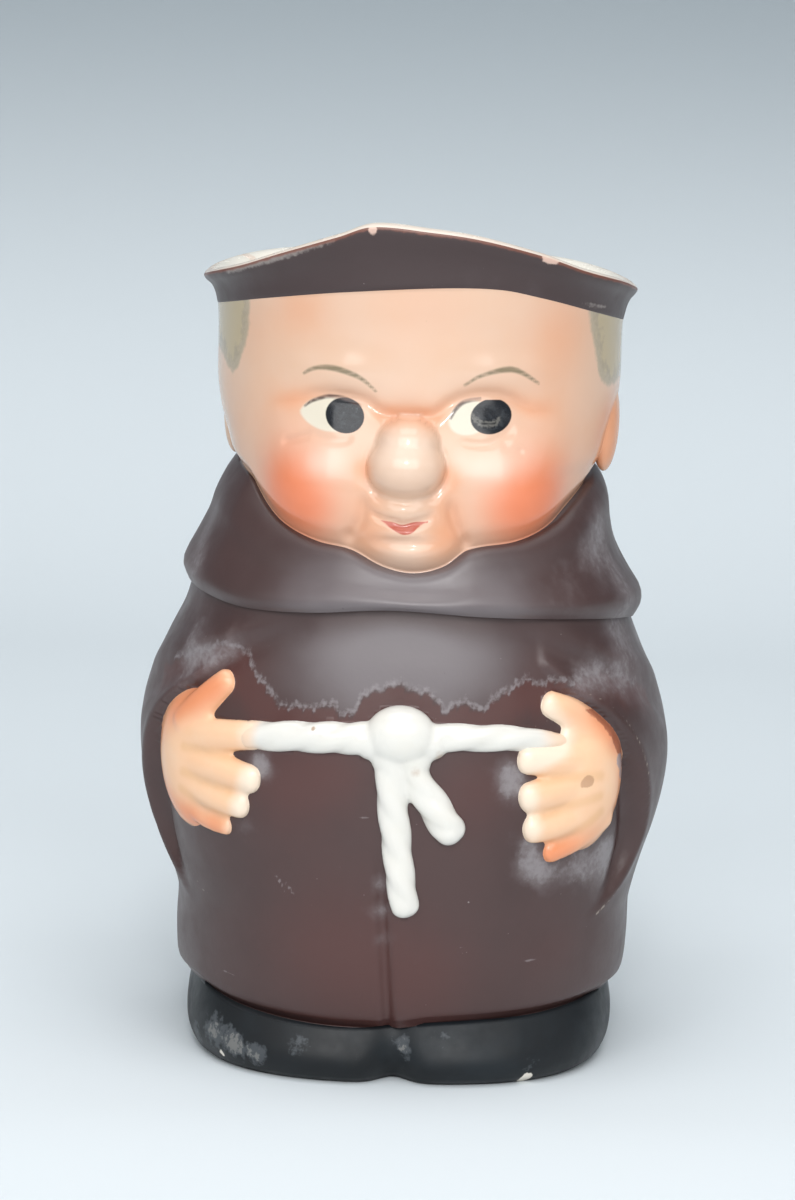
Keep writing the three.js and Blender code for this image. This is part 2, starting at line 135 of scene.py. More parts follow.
# Each light: its name, where it hangs, what it faces, its width and depth in metres, and its power.
for name, place, faces, width, depth, power in [
    ("wide soft box in front", (0.0, -1.0, 0.6), (0, 0, 0.08), 1.5, 0.8, 10.8),
    ("soft box above", (0.0, -0.25, 1.0), (0, 0, 0.08), 0.8, 0.5, 3.2),
    ("lamp over the camera", (0.0, -0.8, 0.56), (0, 0, 0.08), 0.09, 0.06, 1.1),
    ("light on the background", (0.0, 0.15, 0.9), (0, 0.75, 0), 1.4, 0.3, 2.7),
    ("window left", (-1.0, -0.35, 0.4), (0, 0, 0.08), 0.6, 0.6, 0.6),
    ("window right", (1.0, -0.35, 0.4), (0, 0, 0.08), 0.6, 0.6, 0.6),
]:
    data = bpy.data.lights.new(name, "AREA")
    data.shape, data.size, data.size_y, data.energy = "RECTANGLE", width, depth, power
    lamp = bpy.data.objects.new(name, data)
    lamp.location = place
    lamp.rotation_euler = (Vector(faces) - lamp.location).to_track_quat("-Z", "Y").to_euler()
    bpy.context.scene.collection.objects.link(lamp)


# The cast. One slip-cast porcelain piece: its whole skin, lip, hollow and foot are a single profile
# spun round and then pressed to the form of the figure. Bearings are degrees from the front towards +X.
def along(table, at, column):
    """Value of a column on a smooth curve through the table's rows."""
    rows = np.asarray(table, float)
    x, y = rows[:, 0], rows[:, column]
    last = len(x) - 1
    before, after = np.maximum(np.arange(last + 1) - 1, 0), np.minimum(np.arange(last + 1) + 1, last)
    slope = (y[after] - y[before]) / (x[after] - x[before])
    at = np.clip(at, x[0], x[-1])
    i = np.clip(np.searchsorted(x, at, side="left") - 1, 0, last - 1)
    span = x[i + 1] - x[i]
    t = (at - x[i]) / span
    p, q, u, v = y[i], y[i + 1], slope[i] * span, slope[i + 1] * span
    return p + t * (u + t * (3 * (q - p) - 2 * u - v + t * (u + v - 2 * (q - p))))


def line_height(line, bearing):
    """Height of a dividing line that closes on itself behind."""
    closed = [(line[-1][0] - 360, line[-1][1]), *line, (180, line[0][1]), (line[1][0] + 360, line[1][1])]
    return along(closed, bearing, 1)


def section(form, at, bearing, squareness):
    """Distance from the axis to a section given by its left, right, front and back half-breadths."""
    s, c = np.sin(np.radians(bearing)), np.cos(np.radians(bearing))
    side = np.where(s < 0, along(form, at, 1), along(form, at, 2))
    depth = np.where(c > 0, along(form, at, 3), along(form, at, 4))
    return (np.abs(s / side) ** squareness + np.abs(c / depth) ** squareness) ** (-1 / squareness)


def swell(distance, reach):
    """A soft bump: 1 at no distance, gone at about twice its reach."""
    return np.exp(-(distance / reach) ** 2)


def smooth(low, high, value):
    """An even ramp from 0 to 1 with rounded ends."""
    t = np.clip((value - low) / (high - low), 0, 1)
    return t * t * (3 - 2 * t)


# Lines that divide the figure, as (bearing, height in mm).
HEM_LINE = [(-180, 11), (-120, 12), (-64, 12.3), (-45, 10.2), (-24, 9), (-6, 9), (11, 10), (38, 10.9),
            (64, 12.2), (120, 12)]
CAPE_LINE = [(-180, 77), (-120, 79), (-88, 79.2), (-60, 78), (-42, 77.2), (-24, 77.7), (-4, 78.9), (18, 78),
             (40, 77), (62, 75.6), (88, 74), (120, 75)]
COWL_LINE = [(-180, 101), (-120, 100.5), (-85, 99.8), (-58, 97.6), (-48, 93.8), (-39, 91.2), (-26, 88.8),
             (-16, 87.9), (-7, 85.5), (1, 84.6), (9, 85.8), (15.5, 88.4), (30, 89.6), (43, 91.8),
             (54, 94.6), (66, 97), (84, 98.8), (120, 100)]
CAP_LINE = [(-180, 124), (-120, 124.2), (-86, 124.4), (-64, 125.4), (-42, 127), (-20, 128.6), (6, 129.8),
            (22, 129.7), (34, 128.4), (53, 126), (70, 124.4), (86, 123.6), (120, 123.8)]
RIM_LINE = [(-180, 132.5), (-140, 132.4), (-105, 130.6), (-86, 130), (-70, 130.8), (-51, 132.6),
            (-34, 135.5), (-20, 138.2), (-11.5, 140), (3, 139.4), (15, 138.4), (32, 135.9), (46, 133.4),
            (62, 131.6), (84, 129.7), (105, 130.2), (140, 132.3)]
# Half-breadths in mm of each layer, as (height, left, right, front, back). The cowl and the cap band go by
# their share of the way up.
SHOE_FORM = [(0, 33.4, 33.8, 34.4, 32.4), (1.2, 34.6, 35.2, 36.2, 33.6), (4, 35.6, 36.4, 37, 34.4),
             (8, 35.6, 36.6, 35.4, 34), (13, 34.8, 35.6, 32.6, 32.4)]
ROBE_FORM = [(9, 35.8, 36.4, 34.6, 34.2), (11.5, 37.1, 37.6, 35.4, 35), (15, 37.7, 38.6, 36.4, 35.8),
             (20, 37.9, 39, 37.6, 36.4), (27, 37.8, 39.1, 38.7, 36.8), (36, 39.4, 39.8, 39.8, 37.2),
             (45, 41.2, 41.4, 40.4, 37.6), (51, 41.9, 42, 40.5, 37.8), (57, 41.7, 41.4, 40.3, 37.8),
             (63, 40.5, 40, 39.9, 37.6), (69, 39, 38.4, 39.2, 37.2), (76, 37, 37, 38, 36.4),
             (84, 35.4, 35.2, 37, 35.6)]
HEAD_FORM = [(82, 27, 28, 34, 29), (93, 28.4, 29, 35, 30.4), (99, 29.4, 30, 35.2, 31.8),
             (102, 30.4, 31.6, 35, 32.4), (105, 31.4, 32.7, 34.6, 33), (108, 32.3, 33.6, 34, 33.4),
             (113, 33, 34.4, 33.6, 33.8), (122, 33.1, 34.5, 33.8, 33.8), (127, 33.5, 34.8, 34.3, 33.9),
             (132, 34, 35.4, 34.6, 34.2)]
COWL_FORM = [(0, 37.4, 38.2, 39.6, 37.2), (0.09, 38.1, 39.3, 40.3, 38), (0.18, 37.5, 39.2, 40.6, 37.8),
             (0.28, 36.4, 37.6, 40.4, 36.6), (0.4, 35.1, 35.8, 39.8, 35.2), (0.52, 33.9, 34.4, 39.2, 34.2),
             (0.66, 33, 33.6, 38.7, 33.4), (0.82, 31.4, 33.1, 38.2, 32.4), (0.93, 29.9, 32, 37.6, 31.4),
             (1, 28.9, 30.6, 36.6, 30.4)]
CAP_FORM = [(0, 33.3, 34.6, 34.6, 34), (0.4, 33.9, 35.2, 35.2, 34.5), (0.8, 35.2, 36.3, 36.4, 35.6),
            (1, 35.7, 36.8, 37, 36.2)]
HOLLOW_FORM = [(0, 33.6, 34.4, 32, 32), (14, 35.8, 36.6, 34.6, 34), (30, 38.2, 39, 38.4, 36.6),
               (50, 41.6, 41.6, 40, 37.6), (66, 39.6, 39.4, 39, 37), (82, 34.6, 34.8, 35.6, 34),
               (98, 28.6, 29.6, 32.8, 30.2), (110, 32.2, 33.4, 32.6, 32.8), (122, 32.9, 34.1, 33.4, 33.5),
               (131, 34.2, 35.4, 34.6, 34.6), (150, 36.6, 37.6, 37.8, 37)]
BODY_SQUARENESS, SHOE_SQUARENESS, HEAD_SQUARENESS = 2.25, 2.7, 2.15
BODY_WALL, LIP_WALL, FLOOR = 3.4, 2.6, 6.0
LIP_WALL_FROM, LIP_WALL_TO = 112, 130
FLOOR_ROUNDING = 6.0
LIP_DOME = 1.0

# Cheeks, brows, chin and eye sockets, as (bearing, height, degrees wide, mm tall, mm of rise).
HEAD_MOUNDS = [
    (-30, 96.5, 16, 8.5, 2.9), (31, 96.5, 16, 8.5, 2.9), (-62, 99, 16, 7, 1), (62, 99, 16, 7, 1),
    (-2, 93.5, 11, 5.5, 2.0), (1, 87.3, 11, 3.6, 2.4), (-2, 89.4, 7.5, 0.9, -0.8),
    (-21, 109.4, 9, 3.8, -1.1), (19, 109.6, 9, 3.8, -1.1), (-22, 108.6, 6, 2.4, 0.7),
    (18, 108.8, 6, 2.4, 0.7), (-2, 109.3, 7, 2.2, -0.9), (-21, 116, 13, 3, 0.6), (23, 116.4, 13, 3, 0.6),
    (-2, 94.6, 5.5, 1.5, 0.8), (-1.8, 91.0, 5.4, 0.8, 0.6),
]
# Lids, nose wings, mouth and laughter lines: the places each goes through, its depth and its half-width.
HEAD_CREASES = [
    ([(-46, 109.8), (-35, 110.8), (-27.4, 112.1), (-20.2, 112.2), (-13.7, 111.5), (-9.8, 110),
      (-5.3, 109.2), (0.2, 109.2), (5.6, 109.7), (10.3, 111.7), (15.2, 112.8), (21.4, 113), (26.6, 112.3),
      (30.7, 111), (35, 110.2), (46, 110.2)], 0.75, 1.0),
    ([(-11.1, 106), (-11.6, 102), (-11.4, 100), (-10.5, 98.4), (-8.6, 97), (-5.4, 96)], 0.5, 0.7),
    ([(6.9, 106), (8.1, 102.2), (8.2, 100.4), (7.3, 98.8), (5.1, 97.2), (2.5, 96.2)], 0.5, 0.7),
    ([(-11, 95.2), (-9.6, 94), (-7.6, 93.3), (-4.6, 92.9), (-1.8, 92.3), (1.2, 92.9), (4.4, 93.6),
      (6.4, 95.2)], 0.7, 0.55),
    ([(-12.2, 98), (-12.4, 94), (-13.2, 92.3), (-15, 90.6), (-18.4, 88.6)], 0.85, 1.1),
    ([(9.6, 97.4), (10.6, 93.7), (12.2, 91.4), (13.8, 89.9), (16.4, 88.2)], 0.85, 0.9),
    ([(-37.5, 104), (-32, 105), (-27.4, 106)], 0.45, 0.6),
    ([(23.4, 105.3), (26.4, 104.3), (30, 103.8)], 0.35, 0.6),
    ([(-29.4, 106.6), (-25, 105.4), (-20, 105), (-15, 105.6)], 0.3, 0.6),
    ([(10, 106), (15, 105.2), (20, 105.2), (25, 106.6), (28.4, 108)], 0.35, 0.6),
]
NOSE_BALLS = [(-1.7, 101.2, 0.4, 6.3, 6.0, 5.2), (-1.4, 104.8, 1.3, 5.1, 5.2, 4.5)]
# The arms' edges as (height, degrees from the arms' middle), and how far they stand out as (height, mm).
ARMS_MIDDLE = -6
SLEEVE_EDGE = [(24, 50), (27, 56.5), (29.3, 62), (33, 67.5), (38.5, 70), (46, 67), (52, 63), (55.7, 60),
               (58.8, 56.2), (62.2, 51), (64.7, 45.8), (70, 38)]
SLEEVE_RISE = [(26, 0), (30, 0.7), (33, 1.3), (36, 1.9), (39, 2.4), (45, 2.75), (51, 2.8), (57, 2.75),
               (63, 2.3), (69, 1.2), (74, 0.2), (77, 0)]


def sleeve(bearing, height):
    """Rise of the sleeve, with its rolled edge and the narrow channel between it and the hand."""
    turned = np.abs(bearing - ARMS_MIDDLE)
    past = turned - along(SLEEVE_EDGE, height, 1)
    rise = along(SLEEVE_RISE, height, 1) * (1 - smooth(104, 138, turned))
    roll = 0.4 * swell(past - 3, 3) * smooth(26, 34, height) * (1 - smooth(60, 68, height))
    channel = 0.9 * swell(past + 2, 2.4) * smooth(28, 36, height) * (1 - smooth(58, 66, height))
    return rise * smooth(-0.8, 2.4, past) + roll - channel


def robe_folds(bearing, height):
    """Two folds over each arm, soft pleats behind and the seam fold in front below the belt."""
    turned = np.abs(bearing)
    arm = -0.8 * swell(height - 70 + 0.28 * (turned - 42), 2.4)
    arm = arm * smooth(20, 40, turned) * (1 - smooth(70, 92, turned))
    upper = 0.5 * swell(height - 73.5 + 0.2 * (turned - 42), 2.2)
    upper = upper * smooth(26, 44, turned) * (1 - smooth(74, 96, turned))
    behind = 0.45 * np.cos(np.radians(9 * bearing))
    behind = behind * smooth(112, 145, turned) * (1 - smooth(50, 74, height))
    drop = (43 - height) / 34
    across = bearing - (-5.3 + 3.3 * drop)
    front = smooth(0, 0.35, drop) * (0.8 * swell(across - 3.6, 4.4) - 1.0 * swell(across, 1.5))
    return arm + upper + behind + front


TOE_GAP_LOW, TOE_GAP_HIGH = 4.4, 1.4


def shoe_reach(bearing, t, height):
    gap = TOE_GAP_LOW + (TOE_GAP_HIGH - TOE_GAP_LOW) * smooth(0, 9, height)
    return section(SHOE_FORM, height, bearing, SHOE_SQUARENESS) - gap * swell(bearing + 0.5, 5.5)


def robe_reach(bearing, t, height):
    return (section(ROBE_FORM, height, bearing, BODY_SQUARENESS) + sleeve(bearing, height)
            + robe_folds(bearing, height) - 1.1 * (1 - smooth(0, 0.03, t)))


def cowl_reach(bearing, t, height):
    return section(COWL_FORM, t, bearing, HEAD_SQUARENESS)


def ball_reach(bearing, height, ball, seat):
    """Distance from the axis to the outside of a ball (bearing, height, sink, across, out, up)."""
    b, h, sink, across, out, up = ball
    middle = seat - sink
    s, c = np.sin(np.radians(bearing - b)), np.cos(np.radians(bearing - b))
    qa, qb = (s / across) ** 2 + (c / out) ** 2, -c * middle / out ** 2
    qc = (middle / out) ** 2 + ((height - h) / up) ** 2 - 1
    inside = qb * qb - qa * qc
    return np.where(inside > 0, (-qb + np.sqrt(np.maximum(inside, 0))) / qa, 0)


def blend_max(a, b, fillet):
    """The greater of two reaches, with a fillet where they meet."""
    return np.maximum(a, b) + fillet * np.log1p(np.exp(-np.abs(a - b) / fillet))


# The rolled-out radius at which distances on the head are measured, and where the nose sits.
HEAD_GIRTH = 35.0
NOSE_SEAT = float(section(HEAD_FORM, 101.0, -1.7, HEAD_SQUARENESS))


def stroke(places, bearing, height, girth):
    """Signed distance in mm to a smooth line through (bearing, height) places, and the share along it."""
    last = len(places) - 1
    table = [(j / last, *place) for j, place in enumerate(places)]
    t = np.linspace(0, 1, 6 * last + 1)
    u, v = np.radians(along(table, t, 1)) * girth, along(table, t, 2)
    x, y = np.radians(bearing) * girth, height
    best, side, share = np.full(np.shape(x), 99.0), np.ones(np.shape(x)), np.zeros(np.shape(x))
    for k in range(len(t) - 1):
        du, dv = u[k + 1] - u[k], v[k + 1] - v[k]
        s = np.clip(((x - u[k]) * du + (y - v[k]) * dv) / (du * du + dv * dv), 0, 1)
        away = np.hypot(x - u[k] - s * du, y - v[k] - s * dv)
        near = away < best
        best = np.where(near, away, best)
        side = np.where(near, np.where(du * (y - v[k]) < dv * (x - u[k]), -1.0, 1.0), side)
        share = np.where(near, t[k] + s * (t[k + 1] - t[k]), share)
    return best * side, share


def head_reach(bearing, t, height):
    reach = section(HEAD_FORM, height, bearing, HEAD_SQUARENESS) - 0.8 * (1 - smooth(0, 0.1, t))
    for b, h, wide, tall, rise in HEAD_MOUNDS:
        reach = reach + rise * np.exp(-(((bearing - b) / wide) ** 2 + ((height - h) / tall) ** 2))
    for places, depth, width in HEAD_CREASES:
        away, share = stroke(places, bearing, height, HEAD_GIRTH)
        reach = reach - depth * swell(away, width) * smooth(0, 0.2, share) * (1 - smooth(0.8, 1, share))
    for ball in NOSE_BALLS:
        reach = blend_max(reach, ball_reach(bearing, height, ball, NOSE_SEAT), 0.35)
    return reach


def cap_reach(bearing, t, height):
    return section(CAP_FORM, t, bearing, HEAD_SQUARENESS) + 0.6 * t * swell(bearing + 11.5, 16)


# Each layer from its lower to its upper line, with its form and how many rows of the profile it takes.
LAYERS = {
    "shoes": (lambda b: 0 * b, lambda b: line_height(HEM_LINE, b) + 0.4, shoe_reach, 16),
    "robe": (lambda b: line_height(HEM_LINE, b), lambda b: line_height(CAPE_LINE, b) + 0.6, robe_reach, 86),
    "cowl": (lambda b: line_height(CAPE_LINE, b), lambda b: line_height(COWL_LINE, b), cowl_reach, 26),
    "head": (lambda b: line_height(COWL_LINE, b) - 0.3, lambda b: line_height(CAP_LINE, b), head_reach, 82),
    "cap": (lambda b: line_height(CAP_LINE, b) + 0.1, lambda b: line_height(RIM_LINE, b), cap_reach, 12),
}


def layer_place(name, bearing, t):
    """Reach and height of a layer at a share t of the way from its lower to its upper line."""
    low, high, reach, _ = LAYERS[name]
    height = low(bearing) + (high(bearing) - low(bearing)) * t
    return reach(bearing, t, height), height


# The columns lie close together in front, where the face and hands are, and further apart behind.
half = np.concatenate([np.arange(0, 48, 0.6), np.arange(48, 78, 0.95), np.arange(78, 116, 1.7),
                       np.arange(116, 179, 3.1)])
bearings = np.concatenate([half, [180], -half[:0:-1]])
profile_rows = [("foot", 0.0), ("foot", 0.5), ("foot", 0.9), ("foot", 0.97)]
for name, (_, _, _, count) in LAYERS.items():
    ts = np.linspace(0, 1, count)
    if name == "shoes":
        ts = np.unique(np.concatenate([[0, 0.03, 0.07, 0.11], ts]))
    if name in ("robe", "cowl"):
        ts = np.unique(np.concatenate([[0.002, 0.005, 0.015, 0.025], ts]))
    profile_rows += [(name, t) for t in ts]
LIP_ARC = np.radians(np.arange(20, 180, 20))
profile_rows += [("lip", a) for a in LIP_ARC]
profile_rows += [("hollow", h) for h in np.linspace(1, 0, 30)]
profile_rows += [("floor", t) for t in (0.12, 0.3, 0.5, 0.75, 1.0)]
profile_rows += [("floor", t) for t in (1.3, 1.8, 2.6)]

bm = bmesh.new()
last_row = len(profile_rows)
profile = [bm.verts.new((0 if i in (0, last_row) else 1, 0, i)) for i in range(last_row + 1)]
chain = [bm.edges.new(pair) for pair in zip(profile, profile[1:])]
bmesh.ops.spin(bm, geom=profile + chain, cent=(0, 0, 0), axis=(0, 0, 1), angle=2 * math.pi,
               steps=len(bearings), use_merge=True, use_duplicate=False)
bmesh.ops.remove_doubles(bm, verts=bm.verts, dist=1e-3)
PLAIN_ROWS = {i for i, (name, _) in enumerate(profile_rows) if name in ("foot", "shoes", "hollow", "floor")}
STEP_ANGLE = 2 * math.pi / len(bearings)
spare = [e for e in bm.edges
         if e.verts[0].co.to_2d().length > 0.5 and e.verts[1].co.to_2d().length > 0.5
         and abs(e.verts[0].co.z - e.verts[1].co.z) > 0.5
         and round(e.verts[0].co.z) in PLAIN_ROWS and round(e.verts[1].co.z) in PLAIN_ROWS
         and round(math.atan2(e.verts[0].co.y, e.verts[0].co.x) / STEP_ANGLE) % 2 == 1]
bmesh.ops.dissolve_edges(bm, edges=spare, use_verts=True)
bmesh.ops.recalc_face_normals(bm, faces=bm.faces)
cast_mesh = bpy.data.meshes.new("mug_cast")
bm.to_mesh(cast_mesh)
bm.free()

spun = np.zeros(len(cast_mesh.vertices) * 3)
cast_mesh.vertices.foreach_get("co", spun)
spun = spun.reshape(-1, 3)
row = np.rint(spun[:, 2]).astype(int)
column = np.rint(np.degrees(np.arctan2(spun[:, 1], spun[:, 0])) % 360 / (360 / len(bearings))).astype(int)
column %= len(bearings)
bearing = bearings[column]
reach, height = np.zeros(len(row)), np.zeros(len(row))
rim_reach, rim_height = layer_place("cap", bearing, np.ones(len(row)))
foot_reach, _ = layer_place("shoes", bearing, np.zeros(len(row)))


def hollow_reach(bearing, height):
    wall = BODY_WALL + (LIP_WALL - BODY_WALL) * smooth(LIP_WALL_FROM, LIP_WALL_TO, height)
    return section(HOLLOW_FORM, height, bearing, HEAD_SQUARENESS) - wall


for i, (name, t) in enumerate(profile_rows):
    at = row == i
    b = bearing[at]
    if name == "foot":
        reach[at], height[at] = foot_reach[at] * t, 0.5 * (t < 0.95)
    elif name in LAYERS:
        reach[at], height[at] = layer_place(name, b, np.full(b.shape, t))
    elif name == "lip":
        inner = hollow_reach(b, rim_height[at])
        middle, half_lip = (rim_reach[at] + inner) / 2, (rim_reach[at] - inner) / 2
        reach[at] = middle + half_lip * math.cos(t)
        height[at] = rim_height[at] - LIP_DOME + LIP_DOME * math.sin(t)
    elif name == "hollow":
        height[at] = FLOOR + FLOOR_ROUNDING + (rim_height[at] - LIP_DOME - FLOOR - FLOOR_ROUNDING) * t
        reach[at] = hollow_reach(b, height[at])
    elif name == "floor":
        turn_in = min(t, 1.0) * math.pi / 2
        spread = 1 if t <= 1 else max(0.0, 1 - (t - 1) / 2)
        height[at] = FLOOR + FLOOR_ROUNDING * (1 - math.sin(turn_in))
        corner = FLOOR_ROUNDING * (1 - math.cos(turn_in))
        reach[at] = (hollow_reach(b, FLOOR + FLOOR_ROUNDING) - corner) * spread
height[row == last_row] = FLOOR
on_band = np.isin(row, [i for i, (name, _) in enumerate(profile_rows) if name == "cap"])
share_up = np.array([t for _, t in profile_rows] + [0], float)
height[on_band] -= LIP_DOME * smooth(0.5, 1, share_up[row[on_band]])
a = np.radians(bearing)
placed = np.stack([reach * np.sin(a), -reach * np.cos(a), height], 1) / 1000
cast_mesh.vertices.foreach_set("co", placed.ravel())
cast_mesh.update()
mug = bpy.data.objects.new("porcelain_mug", cast_mesh)
bpy.context.scene.collection.objects.link(mug)

robe_paint, robe_tree, robe_shader = new_material("brown underglaze under clear glaze")
face_paint, face_tree, face_shader = new_material("peach enamel on glazed porcelain")
shoe_paint, shoe_tree, shoe_shader = new_material("black gloss enamel on porcelain")
white_glaze, white_tree, white_shader = new_material("white glazed porcelain")
lip_glaze, lip_tree, lip_shader = new_material("white glazed lip, worn brown edging")
bare_foot, _, foot_shader = new_material("bare fired porcelain foot", Roughness=0.8)
# The finish of each paint is given further down, after the painting.
PAINTS = [robe_paint, face_paint, shoe_paint, white_glaze, lip_glaze, bare_foot]
for paint in PAINTS:
    cast_mesh.materials.append(paint)
paint_of = {"foot": bare_foot, "shoes": shoe_paint, "robe": robe_paint, "cowl": robe_paint,
            "head": face_paint, "cap": robe_paint, "lip": lip_glaze, "hollow": white_glaze,
            "floor": white_glaze}
by_row = np.array([PAINTS.index(paint_of[name]) for name, _ in profile_rows] + [PAINTS.index(white_glaze)])
corner_vertex = np.zeros(len(cast_mesh.loops), int)
cast_mesh.loops.foreach_get("vertex_index", corner_vertex)
first_corner = np.zeros(len(cast_mesh.polygons), int)
cast_mesh.polygons.foreach_get("loop_start", first_corner)
face_row = np.minimum.reduceat(row[corner_vertex], first_corner)
cast_mesh.polygons.foreach_set("material_index", by_row[face_row])


# Hands. Two plump hands rest on the belly in low relief: a palm pad with four fingers and a thumb laid
# on it, run together by the slip and the glaze so that only soft grooves part them.
def skin_point(name, bearing, height, sink):
    """Places on a layer's surface in mm, sunk below it by so much."""
    low, high, reach, _ = LAYERS[name]
    bearing, height = np.asarray(bearing, float), np.asarray(height, float)
    t = (height - low(bearing)) / (high(bearing) - low(bearing))
    r, a = reach(bearing, t, height) - sink, np.radians(bearing)
    return np.stack([r * np.sin(a), -r * np.cos(a), height + 0 * r], -1)


def new_piece(name, bm, paint):
    bm.normal_update()
    bmesh.ops.recalc_face_normals(bm, faces=bm.faces)
    mesh = bpy.data.meshes.new(name)
    bm.to_mesh(mesh)
    bm.free()
    mesh.materials.append(paint)
    piece = bpy.data.objects.new(name, mesh)
    bpy.context.scene.collection.objects.link(piece)
    return piece


TIP_ROWS = 6


def draw_out(bm, middle, across_of, wide, thick, sides=24, rows=44, tip=1.0, section_of=None):
    """A ball drawn out along a line: wide and thick give its half-breadths at a share of the way."""
    made = bmesh.ops.create_uvsphere(bm, u_segments=sides, v_segments=rows, radius=1)["verts"]
    start = np.array([v.co for v in made])
    k = np.rint(np.arccos(np.clip(start[:, 2], -1, 1)) / math.pi * rows)
    a = np.arctan2(start[:, 1], start[:, 0])
    u = np.clip((k - TIP_ROWS) / (rows - 2 * TIP_ROWS), 0, 1)
    near, far = (np.clip(x / TIP_ROWS, 0, 1) * math.pi / 2 for x in (k, rows - k))
    centre = middle(u)
    way = middle(np.minimum(u + 0.01, 1)) - middle(np.maximum(u - 0.01, 0))
    way /= np.linalg.norm(way, axis=1, keepdims=True)
    across = across_of(centre, way)
    across /= np.linalg.norm(across, axis=1, keepdims=True)
    out = np.cross(way, across)
    swollen = np.sin(near) * np.sin(far) * (1 if section_of is None else section_of(a, u))
    placed = (centre + way * ((np.cos(far) - np.cos(near)) * thick(u) * tip)[:, None]
              + across * (wide(u) * swollen * np.cos(a))[:, None]
              + out * (thick(u) * swollen * np.sin(a))[:, None])
    for vertex, co in zip(made, placed / 1000):
        vertex.co = co


def add_limb(bm, name, places, radii, sink, depth=0.8, **shape):
    """A limb laid on a layer through (bearing, height) places, with its radius at even steps."""
    line = [(j / (len(places) - 1), *place) for j, place in enumerate(places)]
    sizes = [(j / (len(radii) - 1), r) for j, r in enumerate(radii)]
    draw_out(bm, lambda u: skin_point(name, along(line, u, 1), along(line, u, 2), sink),
             lambda centre, way: np.cross(centre * (1, 1, 0), way),
             lambda u: along(sizes, u, 1), lambda u: along(sizes, u, 1) * depth, **shape)


def add_ball(bm, middle, across, out, up, turn, segments=40):
    """A ball pressed on the skin, turned to face outwards."""
    x, y, z = middle
    place = (Matrix.Translation(Vector(middle) / 1000) @ Matrix.Rotation(math.atan2(x, -y), 4, "Z")
             @ Matrix.Rotation(math.radians(turn), 4, "Y")
             @ Matrix.Diagonal((across / 1000, out / 1000, up / 1000, 1)))
    return bmesh.ops.create_uvsphere(bm, u_segments=segments, v_segments=segments // 2, radius=1,
                                     matrix=place)


def keep_in_wall(piece, name, depth):
    """Moves what lies deeper than so many mm under a layer's surface back up, clear of the hollow."""
    mesh = piece.data
    co = np.zeros(len(mesh.vertices) * 3)
    mesh.vertices.foreach_get("co", co)
    co = co.reshape(-1, 3) * 1000
    b = np.degrees(np.arctan2(co[:, 0], -co[:, 1]))
    r = np.hypot(co[:, 0], co[:, 1])
    low, high, reach, _ = LAYERS[name]
    t = (co[:, 2] - low(b)) / (high(b) - low(b))
    kept = np.maximum(r, reach(b, t, co[:, 2]) - depth)
    co[:, :2] *= (kept / r)[:, None]
    mesh.vertices.foreach_set("co", (co / 1000).ravel())
    mesh.update()


def run_together(piece, paint, grain_mm, strokes):
    """Wet clay: the pieces of a form become one skin whose joints are smoothed over by so many strokes."""
    modelled = piece.modifiers.new("run together", "REMESH")
    modelled.mode, modelled.voxel_size = "VOXEL", grain_mm / 1000
    whole = bpy.data.meshes.new_from_object(piece.evaluated_get(bpy.context.evaluated_depsgraph_get()))
    piece.modifiers.clear()
    piece.data = whole
    whole.materials.clear()
    whole.materials.append(paint)
    bm = bmesh.new()
    bm.from_mesh(whole)
    for _ in range(strokes):
        bmesh.ops.smooth_vert(bm, verts=bm.verts, factor=0.5, use_axis_x=True, use_axis_y=True,
                              use_axis_z=True)
    bm.to_mesh(whole)
    bm.free()


# Each finger goes through three (bearing, height) places, with its half-breadths at the knuckle and the tip.
HANDS = {
    "hand_right": {
        "palm": (46, 50.6), "size": (8.2, 4.8, 12.2), "turn": 6,
        "fingers": [([(49, 53.4), (38, 54.4), (28.2, 55)], 3.1, 2.55),
                    ([(49, 50.2), (38.4, 49.8), (28.8, 48.8)], 3.1, 2.65),
                    ([(49, 47), (39, 44.6), (30.2, 43.5)], 3.1, 2.55),
                    ([(50, 44.4), (42.6, 41.2), (35.2, 39.1)], 2.7, 1.8),
                    ([(48, 56.6), (41.6, 61), (34.2, 63.7)], 3.5, 2.3)],
        "web": [(44.5, 56.6), (38.5, 58.2)],
    },
    "hand_left": {
        "palm": (-57.5, 51.4), "size": (8.6, 4.8, 12.2), "turn": -8,
        "fingers": [([(-56.5, 54.4), (-44, 56.3), (-34.4, 57.2)], 3.1, 2.4),
                    ([(-56.5, 51), (-44, 50.8), (-35.2, 50)], 3.1, 2.45),
                    ([(-57, 48), (-46, 46.2), (-38, 45.4)], 3.0, 2.3),
                    ([(-58, 45.2), (-50, 42.4), (-42.6, 41.3)], 2.6, 1.6),
                    ([(-56, 57), (-50.6, 61), (-44.4, 65.1)], 3.5, 2.3)],
        "web": [(-54, 57.4), (-49, 58.8)],
    },
}
WALL_DEPTH = 1.7
hand_paint, hand_tree, hand_shader = new_material("peach enamel on the hands")
hands = []
for hand_name, hand in HANDS.items():
    bm = bmesh.new()
    add_ball(bm, skin_point("robe", *hand["palm"], 2.4), *hand["size"], hand["turn"])
    for places, knuckle, tip in hand["fingers"]:
        add_limb(bm, "robe", places, [knuckle, (knuckle + tip) / 2, tip], 0.1, depth=0.72)
    add_limb(bm, "robe", hand["web"], [3.4, 2.6], 0.4, depth=0.6)
    piece = new_piece(hand_name, bm, hand_paint)
    keep_in_wall(piece, "robe", WALL_DEPTH)
    run_together(piece, hand_paint, 0.46, 4)
    hands.append(piece)


# Rope belt. A twisted cord goes round the belly from hand to hand, is tied in one round knot in front and
# leaves two ends hanging down. It is modelled in the cast and left white under the glaze.
STRANDS = 3
rope_glaze, rope_tree, rope_shader = new_material("white glaze pooled between the strands")


